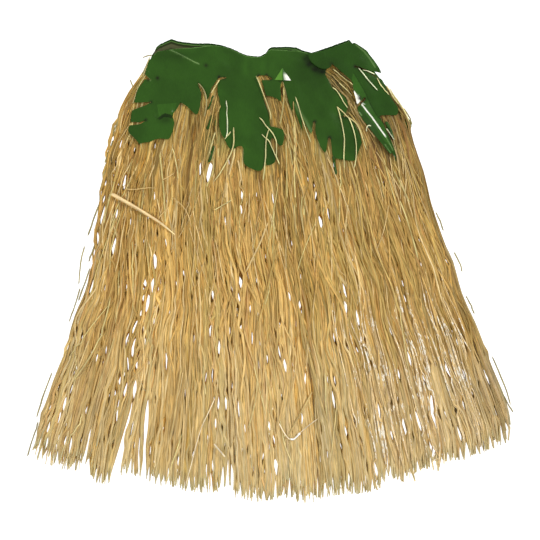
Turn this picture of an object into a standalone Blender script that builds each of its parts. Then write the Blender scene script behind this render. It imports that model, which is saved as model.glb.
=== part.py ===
"""Grass skirt laid flat on its back: a flattened tube of waistband, a raffia fringe
in a front and a back layer that hang from it, and split-leaf cloth sewn round it.

Tables are in millimetres. X runs across the skirt, Y from the hem up to the waist,
Z up from the surface that it lies on. Meshes are in metres.
"""

import bpy
import numpy as np
from mathutils import Vector
from mathutils.geometry import delaunay_2d_cdt

MM = 0.001
SEAM = 0.3  # gap left where two pieces are sewn together
LEAF_WALL = 1.0
BAND_WALL = 2.6  # casing cloth folded over its elastic
BAND_LOW = [(-196, 305.0), (136, 316.3)]  # straight lower edge of the band: x, y
BAND_BACK_Z = 1.4
BAND_FRONT_Z = 4.4
LEAF_LIFT = 0.6  # cloth clear of the fringe or band that it lies on
LEAF_GRID = 17.0
CORNER = 5.0  # longest cut taken off a leaf's corners

# Top edges of the waistband: x, y of the back half, y of the front half
WAIST = [
    (-193, 335, 330),
    (-179, 350, 339),
    (-165, 359.7, 341),
    (-138, 356, 345),
    (-110, 353, 347),
    (-88, 352, 349),
    (-69, 347, 345),
    (-48, 337, 335),
    (-29, 333, 331),
    (-13, 335, 332),
    (-2, 346, 341),
    (18, 348, 341),
    (40, 348, 341),
    (63, 340, 338),
    (80, 344, 340),
    (101, 352, 347),
    (121, 359.7, 355),
    (132, 353, 350),
]

# Side edges of the fringe: y, x of the left edge, x of the right edge
SIDES = [
    (316, -196, 136),
    (305, -197, 160),
    (298, -209, 175),
    (279, -223, 187),
    (260, -235, 202),
    (240, -240, 212),
    (200, -251, 226),
    (155, -262, 242),
    (108, -270, 253),
    (61, -278, 267),
    (14, -282, 288),
    (-33, -292, 301),
    (-80, -312, 322),
    (-126, -323, 338),
    (-173, -340, 357),
    (-220, -356, 374),
    (-248, -367, 378),
    (-293, -378, 378),
]

# Hem of the fringe: x, y
HEM = [
    (-378, -293),
    (-352, -298),
    (-310, -307),
    (-266, -326),
    (-243, -322),
    (-222, -322),
    (-188, -326),
    (-157, -331),
    (-113, -342),
    (-69, -334),
    (-26, -356),
    (18, -346),
    (62, -360),
    (105, -346),
    (149, -340),
    (193, -321),
    (216, -322),
    (236, -306),
    (280, -293),
    (324, -279),
    (367, -264),
    (378, -248),
]

# The parting that opens from the hem: x of its sides and mouth, then its apex
PARTING = {"left": -243, "middle": -233, "right": -222, "apex": (-210, -181)}

# Levels of the fringe down its length: y, underside, top of the back layer, top of the front
LEVELS = [
    (350, 1.6, 3.9, 7.0),
    (300, 1.6, 4.6, 8.4),
    (250, 1.6, 5.6, 10.5),
    (140, 1.6, 6.8, 13.0),
    (110, 0.0, 7.0, 13.6),
    (0, 0.0, 7.5, 14.6),
    (-200, 0.0, 7.0, 13.6),
    (-300, 0.0, 5.6, 10.8),
    (-365, 0.0, 4.0, 8.0),
]

# Locks of strands that stand up along the front fringe:
# place across (0 left to 1 right), half width, height, y where it starts
LOCKS = [
    (0.035, 0.016, 2.6, 150),
    (0.095, 0.018, 3.6, 90),
    (0.150, 0.014, 2.4, 170),
    (0.225, 0.018, 3.2, 120),
    (0.290, 0.016, 4.4, 60),
    (0.345, 0.014, 2.6, 150),
    (0.410, 0.020, 3.8, 100),
    (0.475, 0.014, 2.2, 130),
    (0.530, 0.018, 4.2, 80),
    (0.600, 0.020, 3.0, 150),
    (0.665, 0.014, 3.8, 60),
    (0.725, 0.018, 2.6, 140),
    (0.790, 0.018, 4.4, 110),
    (0.855, 0.016, 2.8, 90),
    (0.910, 0.018, 3.6, 150),
    (0.965, 0.014, 2.4, 120),
]

# Front garland, a row a lobe: the slit or corner before it, then its two outer corners
FRONT_LOBES = [
    ("shoulder", (-191, 328), (-199, 318), (-204, 303)),
    ("left upper", (-186, 300), (-207, 296), (-214, 262)),
    ("left middle", (-188, 257), (-218, 254), (-221, 231)),
    ("left lower", (-199, 228), (-222, 223), (-208, 200)),
    ("left bottom", (-188, 201), (-176, 200), (-158, 204)),
    ("left inner", (-140, 260), (-124, 246), (-113, 242)),
    ("hanging tip", (-113, 289), (-102, 268), (-94, 271)),
    ("centre left", (-74, 296), (-80, 270), (-76, 220)),
    ("centre small", (-63, 208), (-69, 198), (-54, 182)),
    ("centre bottom", (-44, 193), (-43, 161), (-13, 151)),
    ("centre low right", (-7, 187), (-4, 159), (10, 168)),
    ("centre right", (4, 187), (18, 189), (21, 217)),
    ("centre side", (-1, 228), (-7, 256), (-13, 276)),
    ("short", (-18, 295), (-9, 270), (15, 262)),
    ("right outer", (20, 289), (24, 264), (37, 245)),
    ("right narrow", (40, 257), (41, 234), (63, 197)),
    ("right side", (51, 236), (58, 223), (66, 212)),
    ("right pointed", (68, 228), (76, 197), (87, 182)),
    ("right bottom", (91, 204), (99, 172), (133, 170)),
    ("right corner", (143, 192), (136, 222), (122, 236)),
    ("right upper", (108, 237), (110, 257), (94, 281)),
]

# Side leaf that lies over the garland's right end
SIDE_LOBES = [
    ("rounded end", (55, 335), (62, 321), (82, 310)),
    ("inner side", (96, 317), (116, 296), (127, 278)),
    ("fold left", (133, 257), (135, 243), (183, 179)),
    ("fold tip", (190, 176), (196, 168), (193, 189)),
    ("square", (176, 237), (190, 237), (200, 243)),
    ("outer side", (197, 257), (183, 284), (166, 301)),
    ("pointed", (141, 310), (172, 306), (162, 324)),
    ("outer shoulder", (150, 340), (141, 345), (132, 348)),
]

# Back garland, which shows only where a lobe's end passes the fringe
BACK_LOBES = [
    ("edge left", (-185, 327), (-193, 310), (-199, 282)),
    ("left upper", (-176, 276), (-204, 257), (-199, 214)),
    ("left lower", (-168, 220), (-176, 186), (-144, 182)),
    ("left inner", (-135, 236), (-119, 192), (-105, 201)),
    ("left point", (-101, 245), (-101, 173), (-87, 164)),
    ("centre left", (-76, 232), (-60, 186), (-29, 173)),
    ("centre", (-23, 245), (-7, 192), (14, 190)),
    ("centre right", (15, 297), (46, 208), (71, 204)),
    ("right inner", (77, 260), (98, 162), (136, 192)),
    ("right lower", (143, 251), (177, 204), (202, 214)),
    ("right point", (190, 245), (219, 222), (222, 232)),
    ("edge right", (177, 282), (186, 279), (188, 289)),
]

# Folds of the leaf cloth, each a ridge: piece, start, end, half width, height
FOLDS = [
    ("front", (-158, 338), (-112, 320), 7, 3.0),
    ("front", (-200, 286), (-150, 296), 8, 2.0),
    ("front", (-175, 251), (-144, 254), 7, 5.5),
    ("front", (-196, 214), (-160, 226), 9, 2.4),
    ("front", (-48, 322), (-43, 186), 10, 2.6),
    ("front", (-70, 255), (-24, 262), 8, 2.0),
    ("front", (19.5, 322), (20, 296), 6, 8.0),
    ("front", (62, 290), (118, 186), 10, 3.0),
    ("front", (34, 300), (46, 262), 7, 2.2),
    ("side", (76, 333), (94, 322), 6, 3.0),
    ("side", (129, 304), (191, 178), 7, 8.0),
    ("side", (164, 296), (194, 248), 7, 2.6),
    ("side", (120, 338), (158, 312), 7, 2.4),
]


def column(table, at, value, x):
    """Linear reading of one column of a table against another, whichever way the table runs."""
    rows = sorted(table, key=lambda row: row[at])
    return np.interp(x, [row[at] for row in rows], [row[value] for row in rows])


def waist_top(x, half):
    return column(WAIST, 0, {"back": 1, "front": 2}[half], x)


def band_low(x):
    return column(BAND_LOW, 0, 1, x)


def make_object(name, points, faces, colour, roughness):
    mesh = bpy.data.meshes.new(name)
    mesh.from_pydata([Vector(p) * MM for p in points], [], faces)
    mesh.update()
    obj = bpy.data.objects.new(name, mesh)
    bpy.context.scene.collection.objects.link(obj)
    material = bpy.data.materials.new(name)
    material.use_nodes = True
    shader = material.node_tree.nodes["Principled BSDF"]
    shader.inputs["Base Color"].default_value = (*colour, 1)
    shader.inputs["Roughness"].default_value = roughness
    mesh.materials.append(material)
    return obj


def wall_of(triangles, low, high):
    """Closed wall between two heights of the same flat triangulation: points, faces."""
    count = len(low)
    faces = [(a + count, b + count, c + count) for a, b, c in triangles]
    faces += [(c, b, a) for a, b, c in triangles]
    ends = {}
    for a, b, c in triangles:
        for edge in ((a, b), (b, c), (c, a)):
            ends[edge] = True
    for a, b in ends:
        if (b, a) not in ends:
            faces += [(a, b, b + count), (a, b + count, a + count)]
    return [*map(tuple, low), *map(tuple, high)], faces


def make_waistband():
    """A flattened ring: the front half above the back one, joined by the folds at its ends."""
    xs = [row[0] for row in WAIST]
    reach = BAND_WALL / 2
    front_z = BAND_FRONT_Z + reach
    back_z = BAND_BACK_Z + reach
    middle_z = (front_z + back_z) / 2
    stations = []  # x, z of the strip's middle, outward normal, top edge, lower edge
    for x in xs:
        top = waist_top(x, "front")
        stations.append((x, front_z, (0, 1), top, band_low(x)))
    for x, way in ((xs[-1], 1), (xs[0], -1)):
        top = (waist_top(x, "front") + waist_top(x, "back")) / 2
        stations.append((x + way * 1.6, middle_z, (way, 0), top, band_low(x)))
        if way > 0:
            for back_x in reversed(xs):
                top = waist_top(back_x, "back")
                stations.append((back_x, back_z, (0, -1), top, band_low(back_x)))
    points = []
    for x, z, (nx, nz), top, low in stations:
        for side in (1, -1):
            for y in (top, low):
                points.append((x + side * nx * reach, y, z + side * nz * reach))
    faces = []
    count = len(stations)
    for i in range(count):
        a, b = 4 * i, 4 * ((i + 1) % count)
        loop = (0, 1, 3, 2)  # outer top, outer low, inner low, inner top
        for k in range(4):
            p, q = loop[k], loop[(k + 1) % 4]
            faces += [(a + p, a + q, b + q), (a + p, b + q, b + p)]
    return make_object("waistband", points, faces, (0.035, 0.095, 0.02), 0.45)


def fringe_columns():
    """Places across the fringe, with one column on each side of the parting and one at its apex."""
    left, right = HEM[0][0], HEM[-1][0]
    marks = [
        (PARTING[name] - left) / (right - left) for name in ("left", "middle", "right")
    ]
    plain = [
        u for u in np.linspace(0, 1, 49) if not marks[0] - 0.009 < u < marks[2] + 0.009
    ]
    return sorted([*plain, *marks]), marks[1]


def fringe_plan(us, apex_u, vs):
    """Plan of the fringe as rows of points, from the waist down to the hem."""
    top_x = SIDES[0][1] + np.array(us) * (SIDES[0][2] - SIDES[0][1])
    top = np.stack([top_x, band_low(top_x) - SEAM], axis=1)
    hem_x = HEM[0][0] + np.array(us) * (HEM[-1][0] - HEM[0][0])
    hem = np.stack([hem_x, column(HEM, 0, 1, hem_x)], axis=1)
    hem[us.index(apex_u)] = PARTING["apex"]
    plan = []
    for v in vs:
        across = []
        for i, u in enumerate(us):
            left_y = top[0, 1] + v * (hem[0, 1] - top[0, 1])
            right_y = top[-1, 1] + v * (hem[-1, 1] - top[-1, 1])
            left = np.array([column(SIDES, 0, 1, left_y), left_y])
            right = np.array([column(SIDES, 0, 2, right_y), right_y])
            corners = (1 - v) * ((1 - u) * top[0] + u * top[-1]) + v * (
                (1 - u) * hem[0] + u * hem[-1]
            )
            across.append(
                (1 - v) * top[i] + v * hem[i] + (1 - u) * left + u * right - corners
            )
        plan.append(across)
    return plan


def lock_height(u, y):
    height = 0.0
    for place, half, rise, start in LOCKS:
        grown = np.clip((start - y) / 90, 0, 1) * np.clip((y + 400) / 160, 0.35, 1)
        height += rise * grown * np.exp(-(((u - place) / half) ** 2))
    return height


def make_fringes():
    us, apex_u = fringe_columns()
    vs = [0, 0.05, 0.11, 0.19, 0.28, 0.38, 0.49, 0.60, 0.71, 0.82, 0.92, 1]
    plan = fringe_plan(us, apex_u, vs)
    width = len(us)
    under, between, over = [], [], []
    for across in plan:
        for i, (x, y) in enumerate(across):
            thin = 0.5 + 0.5 * min(1, min(us[i], 1 - us[i]) / 0.05)
            low = column(LEVELS, 0, 1, y)
            middle = low + (column(LEVELS, 0, 2, y) - low) * thin
            upper = (column(LEVELS, 0, 3, y) - column(LEVELS, 0, 2, y)) * thin
            under.append((x, y, low))
            between.append((x, y, middle))
            over.append((x, y, middle + upper + lock_height(us[i], y)))
    triangles = []
    for row in range(len(vs) - 1):
        for i in range(width - 1):
            a, b = row * width + i, row * width + i + 1
            c, d = a + width, b + width
            triangles += [(a, c, d), (a, d, b)]
    points, faces = wall_of(triangles, under, between)
    make_object("fringe_back", points, faces, (0.55, 0.37, 0.16), 0.7)
    lifted = [(x, y, z + SEAM + 0.1) for x, y, z in between]
    points, faces = wall_of(triangles, lifted, over)
    make_object("fringe_front", points, faces, (0.58, 0.4, 0.18), 0.7)


def rounded(corners, fixed):
    """The outline with each corner cut back in three steps, apart from the fixed ones."""
    outline = []
    count = len(corners)
    for i, corner in enumerate(corners):
        if i in fixed:
            outline.append(corner)
            continue
        here = np.array(corner, float)
        before = np.array(corners[i - 1], float)
        after = np.array(corners[(i + 1) % count], float)
        cut_a = min(CORNER, 0.35 * np.linalg.norm(before - here))
        cut_b = min(CORNER, 0.35 * np.linalg.norm(after - here))
        a = here + (before - here) / np.linalg.norm(before - here) * cut_a
        b = here + (after - here) / np.linalg.norm(after - here) * cut_b
        outline += [tuple(a), tuple(0.25 * a + 0.5 * here + 0.25 * b), tuple(b)]
    return outline


def inside(outline, x, y):
    odd = False
    for i, (ax, ay) in enumerate(outline):
        bx, by = outline[i - 1]
        if (ay > y) != (by > y) and x < (bx - ax) * (y - ay) / (by - ay) + ax:
            odd = not odd
    return odd


def clearance(outline, x, y):
    """Distance from a point to the outline."""
    point = np.array((x, y))
    best = 1e9
    for i, end in enumerate(outline):
        a, b = np.array(outline[i - 1]), np.array(end)
        along = np.clip(np.dot(point - a, b - a) / max(np.dot(b - a, b - a), 1e-9), 0, 1)
        best = min(best, np.linalg.norm(a + along * (b - a) - point))
    return best


def fold_height(piece, x, y):
    height = 0.0
    for name, start, end, half, rise in FOLDS:
        if name != piece:
            continue
        a, b = np.array(start, float), np.array(end, float)
        length = np.linalg.norm(b - a)
        along = np.dot(np.array((x, y)) - a, b - a) / length
        across = abs(np.cross(b - a, np.array((x, y)) - a)) / length
        fade = np.clip(min(along, length - along) / (0.2 * length) + 1, 0, 1)
        height = max(height, rise * fade * max(0.0, 1 - across / half))
    return height


def make_leaves(name, piece, lobes, half, ground, drop, grid=LEAF_GRID):
    """One cut piece of leaf cloth: its lobes below, the waistband's top edge above."""
    corners = [point for row in lobes for point in row[1:]]
    fixed = {3 * i for i in range(len(lobes))}
    left, right = lobes[0][1][0], lobes[-1][3][0]
    edge = [row[0] for row in reversed(WAIST) if left + 6 < row[0] < min(right, 132) - 6]
    if piece != "side":
        edge = [min(right, 132), *edge]
    for x in edge:
        fixed.add(len(corners))
        corners.append((x, float(waist_top(x, half)) - drop))
    outline = rounded(corners, fixed)
    extra = []
    for fold, start, end, reach, _ in FOLDS:
        if fold != piece:
            continue
        a, b = np.array(start, float), np.array(end, float)
        length = np.linalg.norm(b - a)
        out = np.array((-(b - a)[1], (b - a)[0])) / length * reach
        for step in np.linspace(0, 1, max(3, int(length / 14))):
            extra += [a + (b - a) * step + side * out for side in (-1, 0, 1)]
    xs = [p[0] for p in outline]
    ys = [p[1] for p in outline]
    for row, y in enumerate(np.arange(min(ys) + 6, max(ys) - 4, grid * 0.87)):
        for x in np.arange(min(xs) + (row % 2) * grid / 2, max(xs), grid):
            if all(np.hypot(*(np.array((x, y)) - e)) > 0.55 * grid for e in extra):
                extra.append(np.array((x, y)))
    kept = [e for e in extra if inside(outline, *e) and clearance(outline, *e) > 3.5]
    flat = [Vector(p) for p in outline] + [Vector((float(e[0]), float(e[1]))) for e in kept]
    loop = list(range(len(outline)))
    made = delaunay_2d_cdt(flat, [], [loop], 1, 1e-6)
    plan, triangles = made[0], [tuple(face) for face in made[2]]
    turned = []
    for a, b, c in triangles:
        area = (plan[b] - plan[a]).cross(plan[c] - plan[a])
        turned.append((a, b, c) if area > 0 else (c, b, a))
    low = []
    for p in plan:
        z = ground(p.x, p.y) + fold_height(piece, p.x, p.y)
        low.append((p.x, p.y, z))
    high = [(x, y, z + LEAF_WALL) for x, y, z in low]
    points, faces = wall_of(turned, low, high)
    return make_object(name, points, faces, (0.035, 0.095, 0.02), 0.35)


def front_ground(x, y):
    return float(column(LEVELS, 0, 3, y)) + LEAF_LIFT


def side_ground(x, y):
    """Over the garland's right end, then down on to the fringe beside it."""
    past = np.clip((x - 146) / 30, 0, 1)
    return front_ground(x, y) + (1 - past) * (LEAF_WALL + 4.0) + past * 0.8


def back_ground(x, y):
    return 0.0


def main():
    for obj in list(bpy.data.objects):
        bpy.data.objects.remove(obj)
    make_waistband()
    make_fringes()
    make_leaves("leaves_front", "front", FRONT_LOBES, "front", front_ground, 1.0)
    make_leaves("leaf_side", "side", SIDE_LOBES, "front", side_ground, 3.0, 13.0)
    make_leaves("leaves_back", "back", BACK_LOBES, "back", back_ground, 2.0, 24.0)


main()
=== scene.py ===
"""Looks of the grass skirt: raffia strands, leaf cloth, waistband, light and camera.

Tables are in millimetres in the part's own frame. X runs across the skirt, Y from the
hem up to the waist, Z up from the surface that it lies on. Meshes are in metres.
"""

import bpy
import numpy as np
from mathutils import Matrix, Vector
from mathutils.geometry import delaunay_2d_cdt


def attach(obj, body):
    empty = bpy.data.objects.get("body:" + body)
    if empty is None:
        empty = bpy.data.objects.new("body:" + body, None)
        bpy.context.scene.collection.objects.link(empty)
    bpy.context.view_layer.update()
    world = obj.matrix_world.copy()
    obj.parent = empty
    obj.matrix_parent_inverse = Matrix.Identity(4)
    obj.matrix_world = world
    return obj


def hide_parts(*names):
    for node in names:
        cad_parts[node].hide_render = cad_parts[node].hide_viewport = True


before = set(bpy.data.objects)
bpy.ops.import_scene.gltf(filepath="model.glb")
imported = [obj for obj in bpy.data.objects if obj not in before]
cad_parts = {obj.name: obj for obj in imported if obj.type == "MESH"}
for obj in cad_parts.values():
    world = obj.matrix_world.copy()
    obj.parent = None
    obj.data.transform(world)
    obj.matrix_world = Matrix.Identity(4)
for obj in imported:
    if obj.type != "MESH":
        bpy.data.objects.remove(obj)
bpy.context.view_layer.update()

MM = 0.001
WALL = 0.7  # leaf cloth
LIFT = 0.6  # leaf cloth clear of the fringe

# Top edge of the waistband's back half: x, y
WAIST_BACK = [
    (-180.8, 342), (-178.6, 347), (-175.5, 350), (-171.4, 352.8), (-165, 355.6), (-158, 358.9),
    (-154.9, 359.9), (-151, 358.6), (-148, 357.4), (-138, 355.4), (-119, 353.2), (-100, 353.2),
    (-88, 352.4), (-74, 349.6), (-60, 344.8), (-46, 338), (-38, 334.8), (-21, 332.6),
    (-15, 333.4), (-7, 338), (-4, 343.8), (1, 347.4), (30, 347.9), (41, 346.6), (52, 341.6),
    (64, 338.2), (72, 340.8), (95, 348.4), (114, 355.6), (120, 357.3), (122.5, 359.6),
    (129.5, 351.6), (132, 350.4),
]
# Top edge of its front half: x, y
WAIST_FRONT = [
    (-186, 330.6), (-181, 336), (-176.3, 340), (-165, 341.6), (-155, 343.6), (-138, 345),
    (-119, 346.2), (-100, 348.6), (-88, 349.4), (-74, 347.6), (-60, 343.2), (-46, 336.4),
    (-38, 333), (-21, 330.9), (-15, 331.4), (-7, 336), (-4, 340.6), (1, 342.8), (30, 341.6),
    (41, 341.2), (52, 338.8), (64, 336.8), (72, 338.6), (95, 344), (120, 352.8), (122.5, 354.8),
    (129.5, 350), (132, 349),
]
BAND_LOW = [(-196, 305.0), (136, 316.3)]

# Side edges of the fringe: y, x of the left edge, x of the right edge
SIDES = [
    (316, -196, 136),
    (305, -197, 160),
    (298, -209, 175),
    (279, -223, 187),
    (260, -235, 202),
    (240, -240, 212),
    (200, -251, 226),
    (155, -262, 242),
    (108, -270, 253),
    (61, -278, 267),
    (14, -282, 288),
    (-33, -292, 301),
    (-80, -312, 322),
    (-126, -323, 338),
    (-173, -340, 357),
    (-220, -356, 374),
    (-248, -367, 378),
    (-293, -378, 378),
]

# Outermost strands: y, x on the left, x on the right
EDGES = [
    (316, -192, 136),
    (310, -196.6, 143),
    (302.6, -200.5, 158),
    (294.8, -206.7, 172),
    (288.6, -211.4, 181.7),
    (279.2, -217.5, 186.4),
    (269.9, -222.5, 192.7),
    (260.5, -227.5, 202),
    (248, -233.5, 208.3),
    (224.6, -239.5, 218),
    (201.2, -247.3, 223.5),
    (177.8, -255, 231),
    (154.4, -259.7, 239.5),
    (131, -261.5, 245.7),
    (107.6, -267.5, 250.4),
    (84.2, -273.5, 256.6),
    (60.8, -275.3, 265),
    (37.4, -276.3, 273),
    (14, -278, 284.5),
    (-9.4, -281.6, 290.9),
    (-32.8, -288.8, 297.2),
    (-56.2, -300, 306.5),
    (-79.6, -309, 318),
    (-103, -314.3, 326.8),
    (-126.4, -320, 335.5),
    (-149.8, -329.9, 343.5),
    (-173.2, -339.3, 353.3),
    (-196.6, -347.1, 363.5),
    (-220, -354.5, 371),
    (-243.4, -362.7, 375.5),
    (-266.8, -370, 377),
    (-290, -378, 377),
]

# Drift of the strands off the straight fan: share down, then at 0, 0.2, 0.4, 0.6, 0.8 and 1 across
FLOW = [
    (0.0, 0, 0, 0, 0, 0, 0),
    (0.12, 0, -0.010, -0.016, 0.004, 0.0, 0),
    (0.26, 0, -0.020, -0.032, 0.014, 0.002, 0),
    (0.50, 0, -0.008, -0.010, 0.036, 0.020, 0),
    (0.75, 0, 0.006, 0.012, 0.052, 0.030, 0),
    (1.0, 0, 0.014, 0.030, 0.058, 0.032, 0),
]

# Where the strands end: x, y
HEM_LINE = [
    (-378, -284), (-375.2, -280), (-353.3, -296.4), (-331.5, -304.2), (-309.7, -305.8),
    (-287.8, -312), (-266, -329.2), (-253.5, -326), (-244.1, -322.9), (-233.2, -312),
    (-222.3, -308), (-211.4, -316), (-200.5, -322.9), (-178.6, -330.7), (-156.8, -327.6),
    (-134.9, -338.5), (-113.1, -341.6), (-91.3, -341.6), (-69.4, -329.2), (-47.6, -349.4),
    (-25.7, -355.7), (-3.9, -352.6), (17.9, -344.8), (39.8, -355.7), (61.6, -358.8),
    (83.5, -347.9), (105.3, -344.8), (127.1, -344.8), (149, -340.1), (170.8, -332.3),
    (192.7, -318.2), (214.5, -324.5), (236.3, -302.6), (258.2, -307.3), (280, -291.7),
    (301.9, -288.6), (323.7, -279.2), (345.5, -271.4), (367.4, -262.1), (378, -246),
]

# Levels of the fringe down its length: y, underside, top of the back layer, top of the front
LEVELS = [
    (350, 1.6, 3.9, 7.0),
    (300, 1.6, 4.6, 8.4),
    (250, 1.6, 5.6, 10.5),
    (140, 1.6, 6.8, 13.0),
    (110, 0.0, 7.0, 13.6),
    (0, 0.0, 7.5, 14.6),
    (-200, 0.0, 7.0, 13.6),
    (-300, 0.0, 5.6, 10.8),
    (-365, 0.0, 4.0, 8.0),
]

# Locks that stand up along the front fringe: place across, half width, height, y of its start
LOCKS = [
    (0.035, 0.016, 2.6, 150),
    (0.095, 0.018, 3.6, 90),
    (0.150, 0.014, 2.4, 170),
    (0.225, 0.018, 3.2, 120),
    (0.290, 0.016, 4.4, 60),
    (0.345, 0.014, 2.6, 150),
    (0.410, 0.020, 3.8, 100),
    (0.475, 0.014, 2.2, 130),
    (0.530, 0.018, 4.2, 80),
    (0.600, 0.020, 3.0, 150),
    (0.665, 0.014, 3.8, 60),
    (0.725, 0.018, 2.6, 140),
    (0.790, 0.018, 4.4, 110),
    (0.855, 0.016, 2.8, 90),
    (0.910, 0.018, 3.6, 150),
    (0.965, 0.014, 2.4, 120),
]

# Cut edge of the front garland, from its left shoulder along the lobes to its right end: x, y
FRONT = [
    (-176.3, 339.1), (-184.9, 330.3), (-188.4, 326.8), (-191.4, 319.8), (-193.8, 312),
    (-195.8, 303.7), (-186.7, 294.8), (-196.4, 296.1), (-201.2, 288.6), (-205.1, 283.6),
    (-207.9, 277.7), (-209.8, 271.4), (-211.7, 264.4), (-212.6, 259.3), (-197.3, 259.9),
    (-185.8, 260.5), (-194.2, 255.5), (-203.6, 252.1), (-212.2, 249), (-215.6, 246.8),
    (-217, 242.6), (-217.3, 237.1), (-218.6, 229.3), (-205.1, 228.9), (-193.8, 232.3),
    (-202.8, 225.9), (-219.2, 224), (-221.4, 220.7), (-222, 216.1), (-219.2, 210.6),
    (-213.6, 205.1), (-208.7, 200.1), (-204.2, 194.7), (-201.2, 196.1), (-197.3, 197),
    (-191.9, 197.5), (-186.4, 198.9), (-181, 201.4), (-176.3, 203.1), (-169.3, 203.3),
    (-163, 202.5), (-158.7, 202.8), (-156.3, 205.1), (-154.4, 209.8), (-152.4, 215.3),
    (-150.9, 221.5), (-149.9, 227.8), (-151.2, 233.5), (-152.7, 237.9), (-151.5, 242.6),
    (-149, 246), (-145.9, 249.9), (-142.7, 255.4), (-140.7, 260.1), (-136.5, 257.7),
    (-132.6, 255.5), (-128.7, 251.9), (-124.8, 248), (-120.1, 243.7), (-116.2, 240.9),
    (-113.1, 242.9), (-111.1, 248.8), (-109.5, 257.4), (-108.4, 266), (-108, 273), (-109.7, 279.2),
    (-111.9, 284.7), (-114.2, 291.4), (-111.2, 289.8), (-107.6, 285.5), (-104.1, 280),
    (-102.2, 273.8), (-100.6, 267.5), (-98.3, 264), (-96.3, 267.9), (-94.8, 273.8), (-92, 282.4),
    (-87.8, 288.6), (-83.8, 294.5), (-81.3, 298), (-75.7, 299.7), (-69.4, 299.2), (-69, 297.3),
    (-74.9, 296.4), (-79.7, 294.5), (-81.9, 288.6), (-82.8, 282.4), (-82.5, 276.1), (-81.3, 269.9),
    (-79.4, 262.9), (-78.5, 256.6), (-79.4, 248), (-80.3, 238.7), (-80.3, 229.3), (-79.7, 220),
    (-77.8, 213.7), (-75.2, 207.5), (-71.6, 202.8), (-70.4, 199.7), (-68.5, 195.3), (-65.5, 190.3),
    (-62.7, 186.7), (-59.3, 185.3), (-56.3, 187.5), (-52.6, 190.6), (-48.4, 191.9), (-44.1, 190.9),
    (-42.3, 186.4), (-42.4, 177.8), (-42.6, 170), (-41, 164.1), (-37.9, 160.7), (-32.8, 157.6),
    (-26.5, 154.9), (-20.4, 152.9), (-15.1, 153.3), (-12, 156.3), (-10.5, 160.7), (-9.2, 170),
    (-8.3, 179.4), (-7.3, 170), (-6.6, 161.9), (0, 162.2), (6.7, 166.3), (8.3, 172.4),
    (5.5, 182.5), (1.7, 191.9), (-0.3, 198.9), (1.6, 205.1), (6.2, 202), (10.8, 195.8),
    (14.8, 191.9), (18.9, 193.6), (21.1, 201.2), (21.4, 209.8), (19.5, 216.8), (13.3, 219.6),
    (6.2, 221.5), (-0.5, 222.1), (-1.1, 231.7), (-1.9, 239.5), (-4.2, 247.3), (-7, 254.3),
    (-9.2, 261.3), (-11.1, 268.3), (-13.3, 276.1), (-15.1, 282.4), (-17.3, 288.6), (-20.1, 294.8),
    (-22.3, 300.6), (-17.9, 301.2), (-13.3, 302.3), (-7, 302), (-1.6, 300.1), (2.7, 296.7),
    (-2.3, 294.8), (-8.6, 294.7), (-13.9, 295), (-12.6, 290.9), (-11.1, 285.5), (-9.5, 279.2),
    (-8.1, 273.8), (-6.7, 270.2), (-0.8, 269.6), (5.5, 267.5), (10.5, 265.4), (15.4, 261.5),
    (16.7, 267.5), (16.2, 274.6), (15.8, 282.4), (16.4, 289.4), (18.9, 293.9), (21.1, 289.4),
    (22.5, 283.1), (24.2, 276.9), (25.7, 270.7), (27.3, 264.4), (29.2, 258.2), (31.5, 251.9),
    (33.5, 246.5), (35.4, 250.4), (37, 253.5), (37.9, 248), (40.1, 241), (42.9, 233.7),
    (46.3, 223.9), (50.1, 215), (49.8, 221.5), (49, 228.5), (49.8, 234.6), (52.6, 229.3),
    (56, 222.3), (59.7, 215.9), (63.5, 210), (65.2, 215.3), (65.8, 221.5), (66.6, 229),
    (68.8, 229.6), (70, 225.4), (69.7, 217.6), (70.7, 210.6), (72.5, 204.4), (74.9, 198.1),
    (77.7, 191.1), (81.3, 185.2), (85, 181.1), (87.2, 184.5), (88, 191.1), (88.8, 197.3),
    (90, 203.4), (92.2, 205.6), (93.8, 201.9), (94.7, 195), (95.6, 187.2), (96.4, 179.4),
    (97.8, 173.5), (101.4, 172.1), (106.1, 171.8), (111.5, 170.7), (117.8, 169.7), (124, 168.8),
    (129.5, 168.6), (132.8, 170.2), (134.6, 175), (137, 182.5), (139.6, 189.5), (142.1, 195.8),
    (141.8, 202), (139.6, 208.3), (136.8, 215.3), (133.4, 222.3), (129.5, 229.3), (125.6, 234.6),
    (121.8, 237.6), (116.2, 237), (110.3, 237.3), (117.2, 242.1), (119.7, 249.6), (120.7, 257.4),
    (118.1, 266), (113.1, 271.4), (107.5, 275.5), (102.2, 278), (98, 280.3), (95.3, 283.9),
    (93.1, 288.6), (90.5, 294.1), (87.8, 298.7), (85.5, 303.4), (86.6, 310.4), (92.8, 322.9),
    (97.5, 343.2),
]

# The same piece along the waist, right to left
FRONT_TOP = [
    (85, 340.1), (74.1, 337.6), (64.1, 336), (53.8, 337.1), (41.3, 340.1), (30.4, 340.2),
    (17.9, 340.7), (0.8, 341.8), (-3.9, 339.5), (-7, 335.4), (-12.5, 331.2), (-21.1, 329.9),
    (-30.4, 330.4), (-39.8, 332.3), (-49.1, 336.6), (-60.1, 342), (-69.4, 345.5), (-78.8, 347.4),
    (-88.1, 348.3), (-99.1, 347.4), (-108.4, 346), (-120.9, 344.4), (-133.4, 343.8),
    (-145.9, 343.4), (-157.6, 342.6), (-167.7, 340.7),
]

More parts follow.
